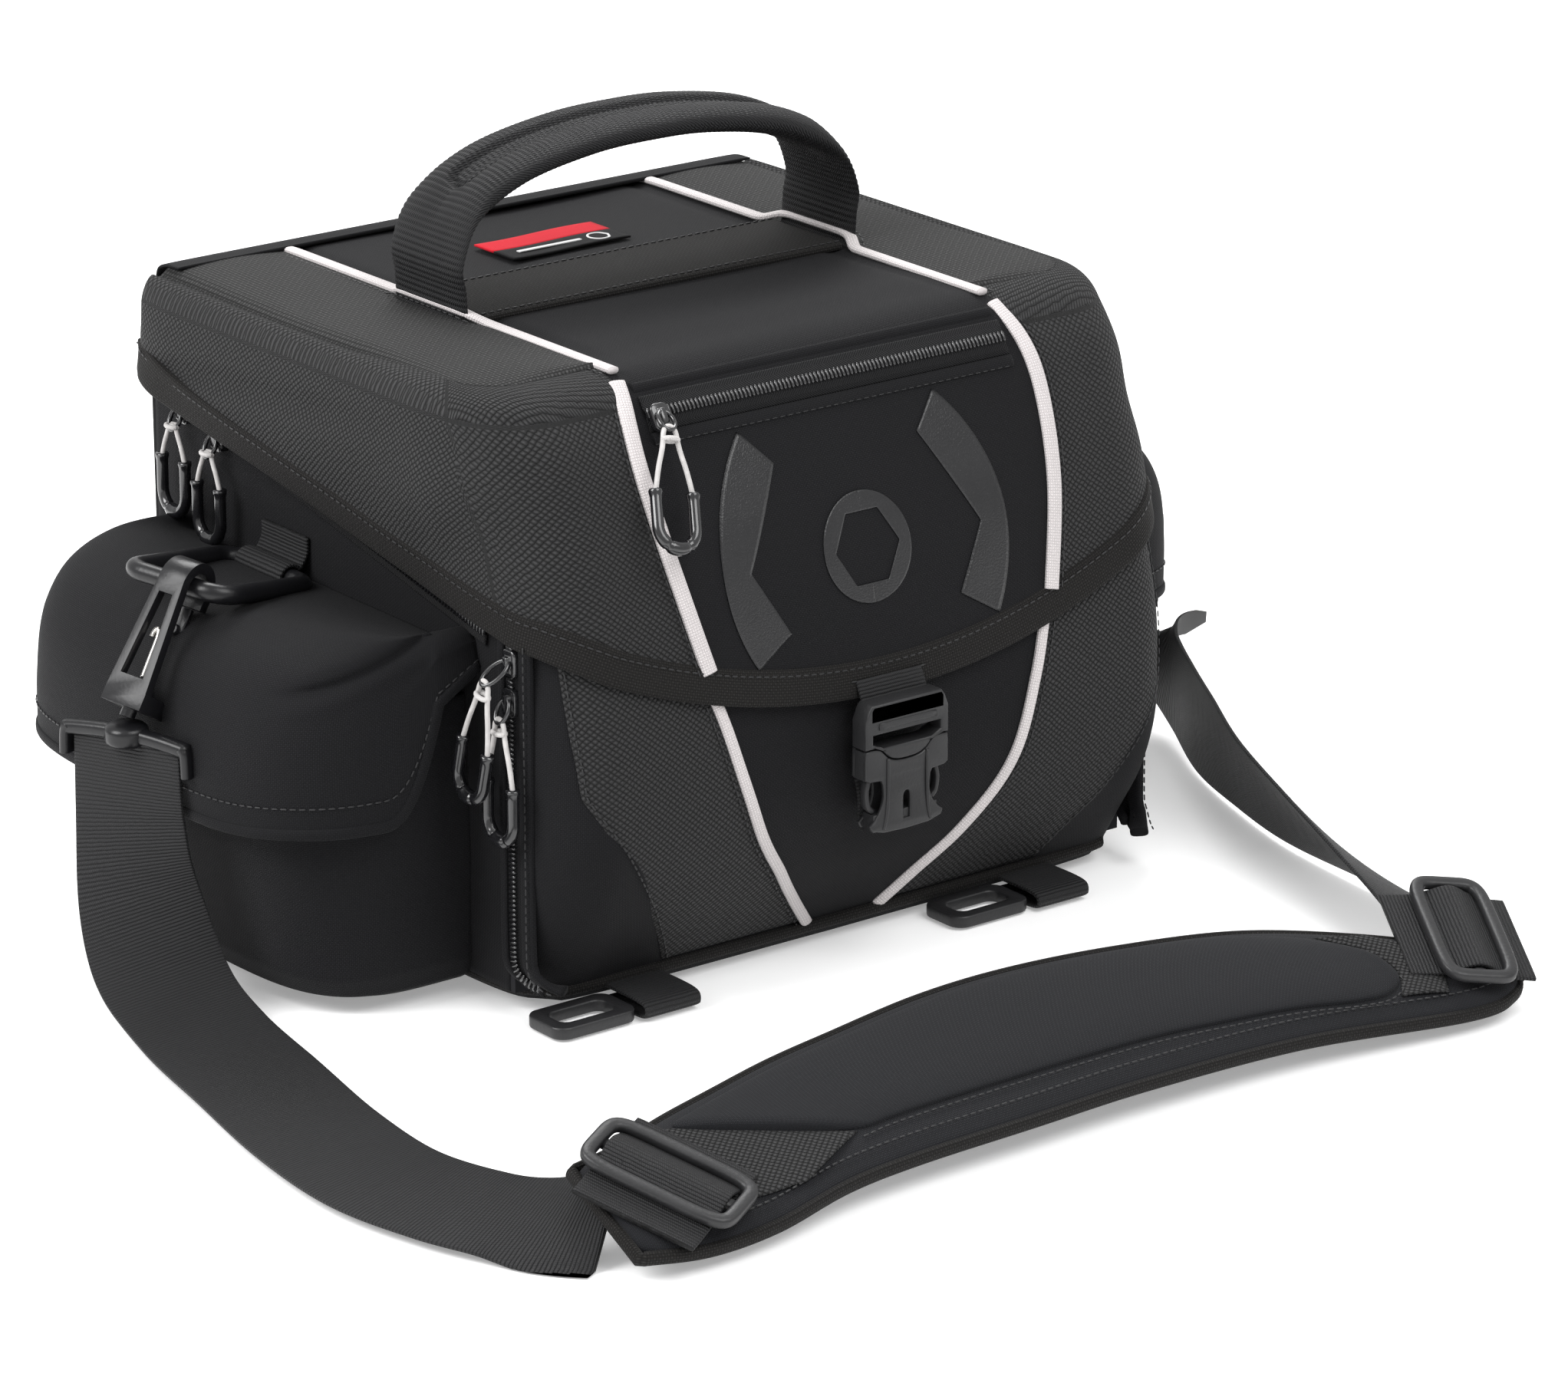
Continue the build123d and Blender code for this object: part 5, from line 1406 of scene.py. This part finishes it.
stitches("pad_seam_edge", on_pad(lower[8:-8, 0], lower[8:-8, 1] + 7.5, 11.3), PAD_OUT, "bag_body")

# %% Mesh panels at the ends of the pad
for name, near, far in (("left", [(-240, 47), (-236, 26), (-214, 10), (-186, 9)],
                         [(-218, 52), (-196, 44), (-172, 33), (-152, 25)]),
                        ("right", [(88, 52), (104, 38), (108, 24), (100, 11)],
                         [(112, 45), (124, 34), (127, 20), (120, 6)])):
    a, b = smooth(near, 40), smooth(far, 40)
    k = np.linspace(0, 1, 30)[None, :, None]
    spot = a[:, None] * (1 - k) + b[:, None] * k
    rise = 11.6 + 0.9 * np.sin(np.pi * k[..., 0]) ** 0.5
    cloth_panel(f"pad_mesh_{name}", on_pad(spot[..., 0], spot[..., 1], rise), MESH, 0.7, "bag_body",
                "mesh", inside=(0, -330, -200), flat=spot)

# %% Three-bar slides and the webbing through them
for name, (x, s), turn in (("left", (-236, 27), -62), ("right", (146, 30), -115)):
    a = math.radians(turn)
    long_way = np.array([math.cos(a), math.sin(a)])
    wide_way = np.array([-math.sin(a), math.cos(a)])

    def at(along, across, rise):
        """Point on the slide: along its length, across its width, above the pad's slope."""
        along, across, rise = np.broadcast_arrays(along, across, rise)
        p = along[..., None] * long_way + across[..., None] * wide_way
        return on_pad(x + p[..., 0], s + p[..., 1], rise)

    q = np.linspace(0, 2 * math.pi, 120, endpoint=False)
    cx, cy = rounded(q, 0.34)
    frame_bar = ring_bar(f"slide_frame_{name}", at(cx * 28.5, cy * 13.6, 16.6), PAD_OUT,
                         oval(4.4, 5.4, 16, 3.0), BUCKLE_PLASTIC)
    nodes = ("strap_triglides",) if name == "left" else ()
    place(frame_bar, "bag_body", "buckle_plastic", *nodes)
    closed_strip(f"slide_bar_{name}", at(np.linspace(-27, 27, 12), 0.0, 15.6), PAD_OUT,
                 oval(3.0, 5.0, 16, 3.0), BUCKLE_PLASTIC, "bag_body", "buckle_plastic")
    over = smooth([(-27, 12.2), (-15, 13.2), (-8, 15.6), (0, 18.6), (8, 15.6), (14, 13.2),
                   (24, 12.6)], 70)
    closed_strip(f"slide_band_{name}", at(0.0, over[:, 0], over[:, 1]),
                 at(1.0, 0.0, 0.0) - at(0.0, 0.0, 0.0), oval(48.5, 1.9, 36, 8.0), WEBBING,
                 "bag_body", "webbing")

# %% Loops and slides under the base
for k, x in enumerate((-103.0, 91.0)):
    fold = smooth([(-121.5, 1.2), (-140, 1.3), (-148.6, 2.0), (-150, 4.2), (-148.4, 6.6),
                   (-140, 7.4), (-121.5, 7.2)], 60)
    closed_strip(f"base_loop_{k}", xyz(x, fold[:, 0], fold[:, 1]), (1, 0, 0), oval(26, 1.8, 26, 7.0),
                 WEBBING, "bag_body", "webbing", *(("tripod_straps",) if k == 0 else ()))
softened("tripod_slides", BUCKLE_PLASTIC, "buckle_plastic", "bag_body", 0.8)
for part in ("front_panel", "dividers"):
    NODES[part].data.materials.clear()
    NODES[part].data.materials.append(LINING)
